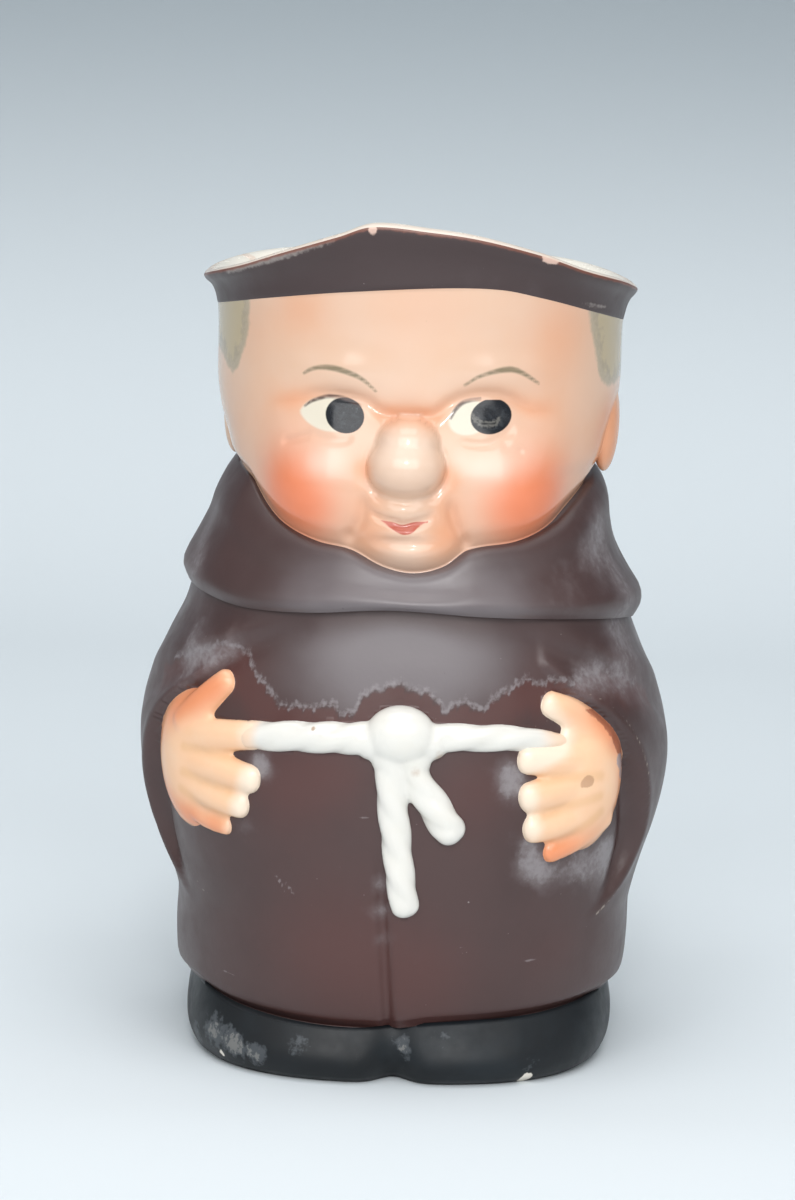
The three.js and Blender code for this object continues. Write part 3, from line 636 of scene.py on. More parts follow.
def twisted(turns):
    """A cord's section: strands that stand out a little and wind round it."""
    return lambda a, u: 0.93 + 0.15 * np.abs(np.cos((STRANDS * a + 2 * math.pi * turns * u) / 2))


bm = bmesh.new()
for places, radii, turns in [
        ([(-36, 57.1), (-24, 57.8), (-14, 58.1), (-6, 58.3)], [2.3, 2.5, 2.6], 3.5),
        ([(37.5, 57.4), (26, 58.4), (14, 58.7), (2, 58.7)], [1.3, 2.0, 2.2, 2.4], 3.5),
        ([(-3, 57), (-2.6, 50), (-1.4, 43), (-0.2, 36.6), (1.1, 31)], [2.5, 2.45, 2.35, 2.3], 4),
        ([(0.5, 56), (3.6, 51.2), (6.8, 47.9), (9.6, 44.9), (10.9, 43.5)], [2.3, 2.5, 2.65, 2.6], 2)]:
    add_limb(bm, "robe", places, radii, 0.2, depth=0.85, sides=36, rows=90, section_of=twisted(turns))
# The knot swells out of the cord on both sides, and the two ends part below it.
add_ball(bm, skin_point("robe", -0.9, 58.9, 0), 5.7, 3.9, 4.9, 0, 40)
for bearing_lobe, z_lobe, size in ((-7.4, 57.6, 2.9), (6.2, 57.8, 2.8), (-3.2, 55.2, 3.1), (1.8, 55, 3.2)):
    add_ball(bm, skin_point("robe", bearing_lobe, z_lobe, 0.2), size, 2.4, size, 0, 24)
add_limb(bm, "robe", [(-0.4, 56), (0.1, 54), (0.5, 51.6)], [2.6, 2.2, 1.5], 0.3, depth=0.7, sides=20,
         rows=30)
rope = new_piece("rope", bm, rope_glaze)
keep_in_wall(rope, "robe", WALL_DEPTH)
run_together(rope, rope_glaze, 0.38, 2)


# Ears. Small flaps that lie back against the head, each with a shallow dish inside its rim.
bm = bmesh.new()
for bearing_ear, lean, sink in ((78, 6, 0.9), (-100, -6, 1.9)):
    add_ball(bm, skin_point("head", bearing_ear, 106.8, sink), 4.6, 2.2, 8.2, lean, 44)
ears = new_piece("ears", bm, face_paint)
keep_in_wall(ears, "head", WALL_DEPTH)


# Handle. A plain loop behind, from the back of the head to the back of the robe, luted on and sponged
# smooth before firing, oval in section.
HANDLE_WIDTH, HANDLE_THICKNESS, FINGER_GAP = 13.0, 8.0, 24.0
HANDLE_TOP, HANDLE_BOTTOM = 119.0, 61.0
top_seat = float(skin_point("head", 180, HANDLE_TOP, 0)[1])
bottom_seat = float(skin_point("robe", 180, HANDLE_BOTTOM, 0)[1])
loop_reach = max(top_seat, bottom_seat) + FINGER_GAP + HANDLE_THICKNESS / 2
drop = HANDLE_TOP - HANDLE_BOTTOM
loop = [
    (top_seat - WALL_DEPTH, HANDLE_TOP), (top_seat + FINGER_GAP * 0.35, HANDLE_TOP + drop * 0.03),
    (loop_reach - FINGER_GAP * 0.22, HANDLE_TOP - drop * 0.06), (loop_reach, HANDLE_TOP - drop * 0.3),
    (loop_reach - FINGER_GAP * 0.1, HANDLE_BOTTOM + drop * 0.36),
    (loop_reach - FINGER_GAP * 0.5, HANDLE_BOTTOM + drop * 0.12), (bottom_seat - WALL_DEPTH, HANDLE_BOTTOM),
]
lengths = np.concatenate([[0], np.cumsum([math.dist(p, q) for p, q in zip(loop, loop[1:])])])
loop_table = [(s / lengths[-1], *p) for s, p in zip(lengths, loop)]
HANDLE_ROWS = 96


def handle_middle(u):
    return np.stack([0 * u, along(loop_table, u, 1), along(loop_table, u, 2)], -1)


def handle_spread(half):
    """Half-breadth of the handle, which spreads a little where it joins the mug."""
    return lambda u: half * (1 + 0.22 * (swell(u, 0.06) + swell(1 - u, 0.06)))


bm = bmesh.new()
draw_out(bm, handle_middle, lambda centre, way: np.array([(1.0, 0, 0)]) + 0 * way,
         handle_spread(HANDLE_WIDTH / 2), handle_spread(HANDLE_THICKNESS / 2), sides=40, rows=HANDLE_ROWS,
         tip=0.05)
handle = new_piece("handle", bm, robe_paint)


# Fusing. The modelled parts are pressed on while the clay is wet, so they become one skin with the cast.
for piece in (*hands, rope, ears, handle):
    joint = mug.modifiers.new("luted on", "BOOLEAN")
    joint.operation, joint.solver, joint.object = "UNION", "MANIFOLD", piece
    joint.material_mode = "TRANSFER"
fused = bpy.data.meshes.new_from_object(mug.evaluated_get(bpy.context.evaluated_depsgraph_get()))
mug.modifiers.clear()
mug.data = fused
for piece in (*hands, rope, ears, handle):
    bpy.data.objects.remove(piece)
fused.shade_smooth()


# Painting. Each painted line and airbrushed patch is a field kept on the mesh, in mm from its edge or as
# its strength, and the finishes below turn it into colour. Places are (bearing, height) on the head or robe.
ROBE_GIRTH = 40.0
skin = np.zeros(len(fused.vertices) * 3)
fused.vertices.foreach_get("co", skin)
skin = skin.reshape(-1, 3) * 1000
turned = np.degrees(np.arctan2(skin[:, 0], -skin[:, 1]))
level = skin[:, 2]
on_head = level > 84
on_robe = (level > 5) & (level < 90)


def keep(name, values):
    field = fused.attributes.new(name, "FLOAT", "POINT")
    field.data.foreach_set("value", np.asarray(values, np.float32))


def line_field(where, places, girth, thickness=None):
    """Signed distance to a line for the points in a mask; with a thickness table, how far inside it."""
    away = np.full(len(level), 99.0 if thickness is None else -99.0)
    distance, share = stroke(places, turned[where], level[where], girth)
    if thickness is None:
        away[where] = distance
    else:
        away[where] = along(thickness, share, 1) / 2 - np.abs(distance)
    return away


def spots(places, girth):
    """Sum of soft round patches given as (bearing, height, radius in mm, strength)."""
    total = np.zeros(len(level))
    for b, h, radius, strength in places:
        across = np.radians((turned - b + 180) % 360 - 180) * girth
        total += strength * np.exp(-(across ** 2 + (level - h) ** 2) / radius ** 2)
    return total


def oval(x, z, rx, rz, lean=0.0):
    """How many mm inside a painted oval a point is, seen from the front."""
    s, c = math.sin(math.radians(lean)), math.cos(math.radians(lean))
    dx, dz = skin[:, 0] - x, level - z
    inside = (1 - np.hypot((dx * c + dz * s) / rx, (dz * c - dx * s) / rz)) * min(rx, rz)
    return np.where((skin[:, 1] < 0) & on_head, inside, -99)


keep("eye_white", np.maximum(np.minimum(oval(-13.4, 107.8, 5.1, 3.9, -8), oval(-13.6, 110.4, 5.1, 3.9, -8)),
                             oval(8.9, 109.3, 3.4, 2.55, 18)))
flat_lid = np.where(skin[:, 0] > 0, 112.15 - level, 99)
iris = np.minimum(np.maximum(oval(-11.05, 109.05, 3.1, 2.75, -12), oval(12.3, 109.55, 3.3, 2.75, 12)),
                  flat_lid)
keep("iris", iris)
keep("iris_mottle", np.where(iris > 0.3, 0, -9))
LASH_WIDTH = [(0, 0.2), (0.3, 0.42), (0.7, 0.42), (1, 0.3)]
keep("lash", np.maximum(
    line_field(on_head, [(-31.1, 110.1), (-29.4, 110.9), (-27, 111.5), (-24.4, 111.9), (-20.7, 111.8),
                         (-17.3, 111.2), (-15, 110.6)], HEAD_GIRTH, LASH_WIDTH),
    line_field(on_head, [(9.9, 109.1), (11.1, 110.4), (13, 111.5), (15.1, 112), (18.5, 112.3)], HEAD_GIRTH,
               LASH_WIDTH)))
BROW_LEFT_WIDTH = [(0, 0.3), (0.25, 0.5), (0.5, 0.8), (0.7, 0.65), (1, 0.25)]
BROW_RIGHT_WIDTH = [(0, 0.25), (0.3, 0.45), (0.6, 0.8), (0.8, 0.6), (1, 0.3)]
keep("brow", np.maximum(
    line_field(on_head, [(-31.2, 115.4), (-29.1, 116.1), (-25.6, 116.6), (-21.5, 116.5), (-17.6, 115.9),
                         (-14.2, 115), (-10.6, 113.2)], HEAD_GIRTH, BROW_LEFT_WIDTH),
    line_field(on_head, [(13.4, 114.5), (16.6, 115.8), (19.7, 116.5), (23, 117), (26.5, 117.1),
                         (29.9, 116.4), (34.7, 114.8)], HEAD_GIRTH, BROW_RIGHT_WIDTH)))
LOSS_WIDTH = [(0, 0.1), (0.3, 0.4), (0.7, 0.36), (1, 0.1)]
keep("paint_loss", line_field(on_head, [(15.8, 109.8), (16.9, 109), (18.5, 108.5), (20.8, 108.3),
                                        (22.5, 108.6), (23.5, 109.2)], HEAD_GIRTH, LOSS_WIDTH))
upper = line_field(on_head, [(-7.7, 92.95), (-4.5, 92.75), (-2.1, 92.35), (0.8, 92.85), (4, 92.95)],
                   HEAD_GIRTH)
lower = line_field(on_head, [(-7.7, 92.8), (-5.2, 91.9), (-3.3, 91.2), (-1.5, 90.85), (0.4, 91.2),
                             (1.9, 92.1), (4, 92.8)], HEAD_GIRTH)
keep("lips", np.minimum(-upper, lower))
# Hair: painted from the temples round the back, under the cap.
HAIR_LEFT = [(-50.5, 130), (-51.8, 124), (-53, 120.4), (-55.9, 117), (-59.2, 114.4), (-64, 114),
             (-74, 116.6), (-88, 117), (-112, 111), (-145, 107), (-185, 106)]
HAIR_RIGHT = [(51, 130), (52, 125), (55.4, 120.5), (58.2, 116), (62.6, 113.6), (72, 113.3), (85, 114.5),
              (100, 113), (120, 110), (148, 107), (185, 106)]
hair_left = line_field(on_head & (turned < 0), HAIR_LEFT, HEAD_GIRTH)
hair_right = line_field(on_head & (turned >= 0), HAIR_RIGHT, HEAD_GIRTH)
keep("hair", np.where(turned < 0, -hair_left, hair_right))
# Airbrushed colour: round blushes on the cheeks and a softer flush in every fold. The paler high spots on
# the cheeks, nose, forehead and chin are painted highlights.
keep("blush", spots([(-33.5, 96.2, 8.6, 1.0), (-26, 93.6, 5, 0.25), (34.5, 96.2, 9, 0.95),
                     (26, 95, 6, 0.3)], HEAD_GIRTH))
over_eye = line_field(on_head, HEAD_CREASES[0][0], HEAD_GIRTH)
keep("flush", 0.36 * swell(over_eye - 0.4, 1.7) * smooth(47, 33, np.abs(turned + 1)) + spots([
    (-42, 110.2, 6.5, 0.26), (-33, 109.6, 4, 0.2), (38, 110.6, 6.5, 0.26), (6, 108.4, 3.2, 0.35),
    (-8.6, 108.4, 3, 0.3), (-2, 109.6, 4, 0.3), (9.6, 100.4, 2.2, 0.75), (-12.8, 101, 2.2, 0.75),
    (-11, 95.6, 3.4, 0.4), (9, 95.6, 3.2, 0.5), (9.5, 90.2, 4, 0.7), (-10.5, 90, 4, 0.6), (0, 85.4, 5, 0.4),
    (-58, 92, 8, 0.4), (60, 93, 8, 0.45), (-33, 125.8, 6.5, 0.5), (-50, 122, 6, 0.3), (0, 126, 13, 0.36),
    (42, 123, 9, 0.55), (-60, 106, 9, 0.25), (58, 106, 9, 0.3), (70, 106, 5, 0.8), (78, 104, 7, 0.7)],
    HEAD_GIRTH))
keep("painted_highlight", spots([(-22, 101.8, 4.4, 0.55), (18, 101.4, 4.6, 0.5), (27, 103.5, 4.4, 0.4),
                     (-1.6, 104.6, 4.4, 0.7), (-25, 101.4, 2, 0.25), (-20, 102, 2, 0.25),
                     (12, 102.6, 1.8, 0.25), (17, 101.4, 2, 0.3), (22, 101.6, 2, 0.3), (-1, 118, 11, 0.35),
                     (-1, 86.6, 5, 0.6)], HEAD_GIRTH))

# Robe: grey dust and a painted sheen lighten the chest and cowl above a scalloped tide line over the belt,
# and the sheen fades just under the cape's edge as painted shade. Below the line the brown is clean and
# redder.
TIDE_LINE = [(-120, 66), (-80, 64), (-58, 67.6), (-44.7, 70.4), (-37.9, 67.5), (-34.3, 65.4), (-31, 62.9),
             (-25, 61.9), (-18.1, 62.8), (-15.1, 61.8), (-11, 62.3), (-9.3, 64.4), (-6.9, 65.8),
             (-2.4, 66.5), (2.4, 66), (7.3, 64), (8.2, 62.7), (12.7, 63.7), (18.5, 63.1), (22.3, 65.2),
             (27.2, 67), (32.5, 66.7), (40.8, 66.9), (48.1, 67.9), (57.7, 66), (80, 63), (120, 66)]
tide = (line_field(on_robe, TIDE_LINE, ROBE_GIRTH) + 0.3 * np.sin(turned * 0.83)
        + 0.22 * np.sin(turned * 2.1 + 1) + 0.14 * np.sin(turned * 5.3))
keep("above_tide", np.where(on_robe & (tide > -50), tide, np.where(on_robe, -9, 9)))
tide_edge = 0.6 - np.where(tide > 0.3, 0.55, -1.4) * (tide - 0.3)
keep("tide", np.where((np.abs(turned) < 66) & on_robe, tide_edge, -9))
keep("bloom", spots([
    (48, 67.6, 3.6, 1.0), (41, 66.6, 3, 0.8), (57, 66, 4, 0.9), (67, 62.5, 4, 0.6), (-57, 67, 3.4, 0.9),
    (-50, 68.8, 3, 0.9), (-44, 70.2, 3, 0.7), (-60, 62.6, 3, 0.5), (24.6, 53, 2.6, 1.0),
    (24.7, 50, 2.8, 0.9), (29.7, 41.4, 2.4, 0.9), (30, 37.5, 2.8, 0.9), (34.5, 35.8, 3.2, 1.0),
    (44.7, 36.2, 4, 1.0), (55, 35, 4.4, 0.9), (54.6, 38.6, 3, 0.8), (-33.6, 53.2, 2, 1.0),
    (-32.2, 51.6, 2, 0.8), (-37.8, 42, 2.4, 0.5), (-4.1, 34.3, 1.8, 0.9), (-4.2, 30, 1.8, 0.9),
    (-3.6, 25, 1.8, 0.6), (-66, 81.5, 4.4, 0.8), (-74, 88, 6, 0.7), (64, 90, 5, 0.9), (54, 86.4, 5, 0.8),
    (66, 81, 5, 0.8), (40, 82, 5, 0.5), (-59, 72, 4, 0.7), (66, 71, 5, 0.7), (59, 74, 4, 0.6),
    (-82, 72, 8, 0.5), (86, 70, 9, 0.5), (150, 60, 12, 0.4), (-140, 40, 12, 0.35), (-150, 84, 10, 0.5),
    (120, 86, 10, 0.5), (170, 28, 10, 0.35), (14, 131.6, 2.6, 0.6), (21, 131.4, 1.6, 0.6),
    (31, 129.6, 3, 0.6), (40, 126.6, 2, 0.4), (-52, 127, 4, 0.3), (-120, 127, 7, 0.5), (150, 126, 7, 0.4)],
    ROBE_GIRTH))
# Dust and painted sheen on the chest and cowl, only above the tide line, held back under the cape's edge as
# painted shade.
under_cape = line_height(CAPE_LINE, turned) - level
keep("dust_and_painted_sheen", spots([(-1, 69, 11, 1.1), (-20, 69, 8, 0.35), (20, 69, 8, 0.35), (0, 82, 15, 0.75),
                          (-24, 80.4, 7, 0.5), (24, 80.4, 7, 0.5), (0, 79, 9, 0.3)], ROBE_GIRTH)
     * np.where(under_cape > 0, smooth(-1, 7, under_cape), 1)
     * smooth(-0.4, 1.2, np.where(on_robe & (tide > -50), tide, 9)))
below_tide = np.where(on_robe & (tide > -50) & (np.abs(turned) < 70), smooth(-7, -1, tide) * (tide < 0), 0)
pooled = spots([(-26, 50, 9, 0.8), (-14, 53, 6, 0.5), (16, 50, 9, 0.7), (-14, 22, 14, 0.9),
                (8, 18, 10, 0.6), (40, 22, 8, 0.4), (-40, 68, 7, 0.7), (30, 68, 6, 0.6), (60, 69, 6, 0.5),
                (-72, 82, 8, 0.6), (-100, 50, 20, 0.5), (110, 40, 20, 0.5), (180, 30, 18, 0.5)], ROBE_GIRTH)
keep("redder", 0.8 * below_tide + pooled)
SCRATCHES = [([(-31, 35.2), (-29, 33.8), (-27.2, 31.4)], 0.5), ([(-28, 34.2), (-26, 32.4), (-24, 30)], 0.5),
             ([(-52, 14.5), (-47, 16), (-42, 15.2)], 0.3), ([(14, 24.2), (16.5, 23.6), (19, 23.9)], 0.3),
             ([(30, 21.2), (33, 21), (36, 21.4)], 0.35), ([(-12, 46.2), (-9, 45.4), (-7, 45.6)], 0.3)]
keep("scratch", np.maximum.reduce([line_field(on_robe, places, ROBE_GIRTH, [(0, 0), (0.5, wide), (1, 0)])
                                   for places, wide in SCRATCHES]))
# Where the sleeve's rolled edge has rubbed pale, with a painted highlight along its crest.
SLEEVE_CREST = [(41, 65.6), (46, 64.2), (51.4, 61.6), (55.4, 58.2), (59, 54), (61.6, 50), (64, 45),
                (66.4, 39), (65, 33), (60, 29.6), (53.4, 27)]
keep("sleeve_rim_wear_and_highlight", np.maximum(
    line_field(on_robe & (turned > 0), SLEEVE_CREST, ROBE_GIRTH,
               [(0, 0.05), (0.3, 0.34), (0.5, 0.3), (0.6, 0), (0.8, 0), (1, 0.5)]),
    line_field(on_robe & (turned < 0), [(-53, 28), (-60, 31), (-66, 35.5)], ROBE_GIRTH,
               [(0, 0.3), (1, 0)])))
# Cap and rim: a darker band, the worn edge of the lip, its chips and the scratches below them.
cap_line = line_height(CAP_LINE, turned)
keep("cap_band", np.where(level > 110, level - cap_line + 0.6, -9))
to_rim = level - (line_height(RIM_LINE, turned) - LIP_DOME)
keep("rim_wear", np.where(level > 110, to_rim, -9))
from_hollow = np.hypot(skin[:, 0], skin[:, 1]) - hollow_reach(turned, level)
keep("lip_out", np.where(level > 110, from_hollow, -9))
keep("chip", spots([(-11.3, 138.9, 0.8, 0.9), (33.1, 135.4, 1.2, 1.1), (35.4, 134.8, 0.8, 0.8),
                    (-40, 134.2, 0.8, 0.6), (72, 131, 1.1, 0.9), (-120, 131, 1.2, 1)], HEAD_GIRTH))
keep("cap_scratch", np.maximum(
    line_field(on_head, [(-58, 130.6), (-53, 131.3), (-39, 133.4), (-29.4, 135.2), (-21, 136.9)],
               HEAD_GIRTH, [(0, 0.4), (0.5, 0.8), (1, 0.3)]),
    line_field(on_head, [(48, 127.6), (54, 126.9), (60, 126.7)], HEAD_GIRTH,
               [(0, 0), (0.5, 0.35), (1, 0)])))

# Painted hands: orange is airbrushed over the thumbs, the little fingers and the outer edge, and the tips
# are left white. A darker yellow-olive is laid in the grooves between the fingers as painted shade.
keep("warm", spots([(38, 62.6, 3, 0.4), (46, 61, 3.6, 0.8), (51.5, 57, 3.4, 0.9), (54, 51, 3, 0.7),
                    (53, 46, 3, 0.6), (46, 41.6, 3.4, 0.5), (39.5, 40, 3, 0.7), (34, 38.8, 2.8, 0.9),
                    (-45.6, 64.4, 3.4, 0.8), (-52, 62, 4, 0.9), (-59, 59, 4, 0.8), (-65, 54, 3.4, 0.6),
                    (-67, 48, 3.4, 0.6), (-62, 43.6, 4, 0.8), (-53, 41.4, 3.6, 0.9), (-44.6, 41, 3, 0.8)],
                    ROBE_GIRTH))
# Fingertips left white, and a paler painted highlight on the top of the back of each hand.
keep("white_tip_and_highlight", spots([(26.4, 55, 3, 1), (27, 48.8, 3, 1), (28.6, 43.4, 3, 0.9), (32.4, 64.4, 2.4, 0.7),
                         (34.6, 58.4, 4, 1), (30, 58.2, 4, 1), (-33, 57.2, 4.4, 1), (-33.8, 50, 3, 1),
                         (-36.6, 45.2, 3, 1), (-40.8, 41, 2.4, 0.6), (46, 50, 4.4, 0.4),
                         (-56, 51, 4.4, 0.45)], ROBE_GIRTH))
# Painted shade along the grooves between the fingers.
grooves = np.zeros(len(level))
for places in ([(45, 51.7), (38, 52), (31, 51.9)], [(45, 48.4), (39, 47.4), (32, 46)],
               [(46, 45.6), (41, 43), (35, 41)], [(-53, 53.6), (-46, 53.6), (-39, 53.7)],
               [(-53, 49.4), (-47, 48.6), (-40, 47.8)], [(-54, 46.4), (-49, 44.6), (-43, 43.4)]):
    grooves = np.maximum(grooves, swell(line_field(on_robe, places, ROBE_GIRTH), 1.1))
keep("painted_shade_in_grooves", grooves)
keep("stain", spots([(41.8, 51.1, 0.95, 1.6), (40.2, 50.4, 0.7, 0.5)], ROBE_GIRTH))
CUFF_WEAR = [(42.4, 62.4), (46.4, 61.2), (50, 58.8), (52.6, 56), (54.6, 52.6)]
keep("hand_wear", line_field(on_robe & (turned > 0), CUFF_WEAR, ROBE_GIRTH,
                             [(0, 0.6), (0.3, 2.2), (0.7, 3.0), (1, 1.4)]))
keep("hand_chip", spots([(52.6, 53.4, 1.4, 1.2), (53.4, 51, 1, 0.9)], ROBE_GIRTH))

# Shoes: the black has flaked along the left toe and by the notch, down to a greyish ground. Rope: the orange
# strays on to its ends by the hands, it holds a little dirt, and painted shade darkens it under the knot and
# between its hanging ends.
keep("flaked", spots([(-50, 5.6, 3, 0.8), (-42, 4.6, 2.6, 0.9), (-35, 3.4, 2.2, 0.7), (-24, 6, 2.4, 0.5),
                      (-60, 3, 3, 0.6), (2, 6.4, 2.2, 0.7), (34, 3, 2, 0.4), (12, 8, 2, 0.4),
                      (-10, 4, 2, 0.3), (120, 4, 4, 0.6), (-150, 5, 4, 0.6)], ROBE_GIRTH))
keep("bare_chip", spots([(34, 0.9, 1.1, 1.4), (-47, 2.2, 0.7, 1.1), (60, 6, 0.5, 1)], ROBE_GIRTH))
keep("rope_blush", np.where(turned > 0, smooth(28, 37, turned), smooth(31, 36, -turned)) * on_robe)
# A little dirt on the cord, with painted shade under the knot and between its ends.
keep("rope_dirt_and_knot_shade", spots([(-20, 59.6, 0.32, 1.5), (8.6, 54.4, 1.6, 0.8), (7.6, 56.4, 1.4, 0.4),
                         (-6, 62, 2.5, 0.25), (-8, 55, 1.6, 0.4), (2.6, 53.4, 1.3, 0.6)], ROBE_GIRTH))


# Finishes. Each material is a ground colour with coats laid over it. A coat is the field that it follows
# ("" for its grain alone), where it starts and is full, its strength, the size in mm of its grain and how
# many mm the grain frays its edge, and its colour. Then come the gloss, from the shiniest to the dullest
# spots, and the relief of the glaze: its patch size and depth in mm.
FINISHES = [
    # Peach enamel: soft airbrushed orange on pale skin, painted highlights on the high spots, painted eyes,
    # brows and lips under a gentle gloss.
    (face_tree, face_shader, "#d9bda6", [
        ("", -0.1, 0.2, 0.4, 16, 1, "#dab698"),
        ("flush", 0.0, 1.0, 0.8, 3, 0.02, "#dc9468"),
        ("blush", -0.25, 1.15, 0.9, 4, 0.04, "#e5794c"),
        # painted highlights on the cheeks, nose, forehead and chin
        ("painted_highlight", 0.0, 1.1, 0.55, 3, 0.02, "#e9dccd"),
        ("hair", -0.2, 0.9, 0.8, 1.5, 1.4, "#a39b86"),
        ("hair", 0.6, 3.0, 0.35, 0.8, 5.0, "#857c64"),
        ("hair", 1.6, 3.4, 0.4, 2.0, 7.0, "#cdb88f"),
        ("eye_white", -0.3, 0.2, 1.0, 1, 0.05, "#d8cfbd"),
        ("iris", -0.12, 0.08, 1.0, 1, 0.05, "#1b1d22"),
        ("iris_mottle", -0.08, 0.2, 0.3, 0.8, 1, "#4b5054"),
        ("iris_mottle", 0.15, 0.24, 0.45, 0.4, 1, "#7d7f82"),
        ("paint_loss", -0.5, 0.0, 0.3, 0.4, 1.2, "#aaa59b"),
        ("paint_loss", -0.12, 0.12, 0.9, 0.5, 0.1, "#121317"),
        ("lash", -0.28, 0.12, 0.9, 0.6, 0.08, "#4a3833"),
        ("brow", -0.3, 0.2, 0.9, 0.6, 0.14, "#7a7059"),
        ("lips", -0.1, 0.12, 0.9, 1, 0.08, "#b6503f"),
        ("lips", 0.35, 0.9, 0.5, 1, 0.1, "#c77561"),
        ("", 0.24, 0.26, 0.5, 0.6, 1, "#a98a72"),
    ], (0.1, 0.2), (7, 0.03)),
    # Brown underglaze, satin: reddish where it is thick, greyed by old dust and by bloom at the tide line,
    # and lightened by a painted sheen on the chest and cowl.
    (robe_tree, robe_shader, "#3b221f", [
        ("", -0.12, 0.14, 0.7, 24, 1, "#432926"),
        ("redder", 0.0, 1.1, 0.8, 5, 0.2, "#4f2620"),
        ("above_tide", -0.2, 0.8, 0.45, 1.4, 1.4, "#443130"),
        # grey dust and painted sheen on the chest and cowl
        ("dust_and_painted_sheen", 0.0, 1.25, 0.9, 9, 0.3, "#6e6668"),
        ("tide", 0.0, 0.7, 0.55, 0.8, 1.5, "#968f91"),
        ("bloom", 0.15, 1.2, 0.6, 3.4, 1.2, "#746a6b"),
        ("bloom", 0.6, 1.4, 0.5, 1.1, 1.4, "#9a9597"),
        ("scratch", -0.1, 0.15, 0.6, 0.7, 0.3, "#8d8283"),
        # rubbed pale wear and a painted highlight along each sleeve's crest
        ("sleeve_rim_wear_and_highlight", -0.1, 0.12, 0.65, 1.2, 0.5, "#a89a8d"),
        ("cap_band", 0.0, 0.8, 0.8, 4, 0.2, "#301b1a"),
        ("cap_scratch", -0.3, 0.2, 0.65, 0.8, 0.9, "#a09690"),
        ("rim_wear", -0.3, 0.1, 0.8, 1.3, 0.6, "#7a4838"),
        ("chip", 0.3, 0.55, 1.0, 0.8, 0.5, "#cfae9e"),
        ("", 0.245, 0.265, 0.7, 0.9, 1, "#9b9191"),
        ("", -0.26, -0.28, 0.6, 1.1, 1, "#2a1918"),
    ], (0.32, 0.5), (0.7, 0.012)),
    # Hands: the same peach enamel, worn to brown at the cuff, with one tea-coloured stain and painted shade
    # in the grooves between the fingers.
    (hand_tree, hand_shader, "#f0c29c", [
        ("", -0.1, 0.2, 0.4, 6, 1, "#efc9a8"),
        # painted shade in the finger grooves
        ("painted_shade_in_grooves", 0.1, 1.1, 0.3, 2, 0.3, "#cf9a5f"),
        ("warm", 0.1, 1.1, 0.85, 3, 0.15, "#e58758"),
        # white fingertips and a painted highlight on the back of each hand
        ("white_tip_and_highlight", 0.3, 1.05, 0.85, 3, 0.2, "#f0dfcb"),
        ("stain", 0.4, 0.75, 0.55, 0.5, 0.4, "#9a6f50"),
        ("hand_wear", -0.1, 0.3, 0.85, 0.9, 1.1, "#a05d45"),
        ("hand_chip", 0.4, 0.7, 0.8, 0.8, 0.6, "#9c9598"),
    ], (0.14, 0.26), (5, 0.03)),
    # White glaze on the cord, a trace of dirt where it pools and painted shade under the knot.
    (rope_tree, rope_shader, "#dfdcd5", [
        ("", -0.05, 0.25, 0.35, 5, 1, "#ddd8cd"),
        ("rope_blush", 0.0, 1.1, 0.8, 2, 0.1, "#efc9a8"),
        # dirt and painted shade under the knot
        ("rope_dirt_and_knot_shade", 0.3, 0.9, 0.7, 0.9, 0.4, "#a5805f"),
        ("", 0.25, 0.27, 0.7, 0.5, 1, "#8d8276"),
    ], (0.12, 0.22), (2.4, 0.05)),
    # Black enamel, flaked in patches down to grey, glossy between them.
    (shoe_tree, shoe_shader, "#0c1014", [
        ("", -0.1, 0.2, 0.5, 14, 1, "#1a2228"),
        ("flaked", 0.3, 0.55, 0.8, 1.6, 1.2, "#4c5054"),
        ("flaked", 0.6, 0.8, 0.7, 0.8, 1.3, "#7d7c79"),
        ("bare_chip", 0.4, 0.6, 1.0, 0.6, 0.4, "#e6ded2"),
        ("", 0.25, 0.27, 0.6, 0.7, 1, "#6d6f70"),
    ], (0.34, 0.6), (1.6, 0.02)),
    # The lip: creamy glaze with a thin, worn brown edging on its outer side, chipped in a few places.
    (lip_tree, lip_shader, "#e6e0d4", [
        ("lip_out", 2.2, 3.0, 0.3, 1.2, 1.0, "#b38671"),
        ("chip", 0.3, 0.5, 0.8, 0.7, 0.4, "#ddc9b9"),
        ("", 0.2, 0.24, 0.6, 0.9, 1, "#a58a7a"),
    ], (0.16, 0.34), (3, 0.03)),
    # The inside: plain white glaze, cool and very glossy, with a few dark pinholes.
    (white_tree, white_shader, "#eceeea", [
        ("", -0.1, 0.2, 0.4, 22, 1, "#e6e8e2"),
        ("", 0.255, 0.275, 0.6, 0.6, 1, "#8c857a"),
    ], (0.06, 0.14), (9, 0.05)),
]
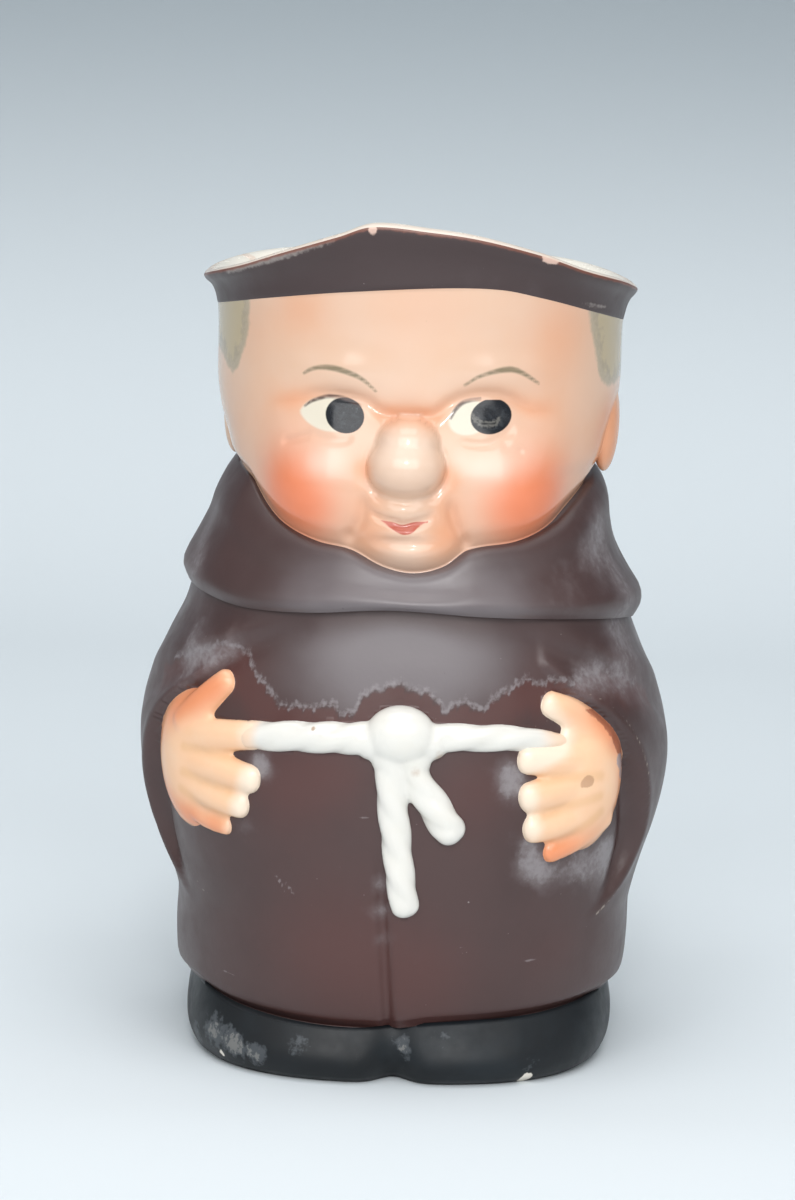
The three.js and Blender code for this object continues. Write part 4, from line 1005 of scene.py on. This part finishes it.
# Object coordinates are metres, so 1000 over a size in mm gives a pattern of that size.
SMEAR_MM = 9
for tree, shader, ground, coats, (shiny, dull), (patch_mm, depth_mm) in FINISHES:
    place = add(tree, "TexCoord").outputs["Object"]
    paint = colour(ground)
    for name, start, full, strength, grain_mm, ragged, tint in coats:
        grain = add(tree, "TexNoise", Vector=place, Scale=1000 / grain_mm, Detail=4.0,
                    Roughness=0.6).outputs["Fac"]
        follows = add(tree, "Attribute", {"attribute_name": name}).outputs["Fac"] if name else 0.0
        value = add(tree, "Math", {"operation": "MULTIPLY_ADD"}, i0=grain, i1=ragged,
                    i2=follows).outputs["Value"]
        cover = add(tree, "MapRange", {"interpolation_type": "SMOOTHSTEP"}, Value=value,
                    From_Min=start + ragged / 2, From_Max=full + ragged / 2, To_Min=0.0, To_Max=strength)
        paint = add(tree, "MixRGB", Fac=cover.outputs["Result"], Color1=paint,
                    Color2=colour(tint)).outputs["Color"]
    tree.links.new(paint, shader.inputs["Base Color"])
    smear = add(tree, "TexNoise", Vector=place, Scale=1000 / SMEAR_MM, Detail=5.0,
                Roughness=0.65).outputs["Fac"]
    gloss = add(tree, "MapRange", Value=smear, From_Min=0.3, From_Max=0.7, To_Min=shiny, To_Max=dull)
    tree.links.new(gloss.outputs["Result"], shader.inputs["Roughness"])
    ripple = add(tree, "TexNoise", Vector=place, Scale=1000 / patch_mm, Detail=3.0,
                 Roughness=0.5).outputs["Fac"]
    relief = add(tree, "Bump", Height=ripple, Strength=1.0, Distance=depth_mm / 1000)
    tree.links.new(relief.outputs["Normal"], shader.inputs["Normal"])
robe_shader.inputs["Specular IOR Level"].default_value = 0.75
shoe_shader.inputs["Specular IOR Level"].default_value = 0.38
foot_shader.inputs["Base Color"].default_value = colour("#cfc8bb")


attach(mug, "root")
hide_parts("mug")
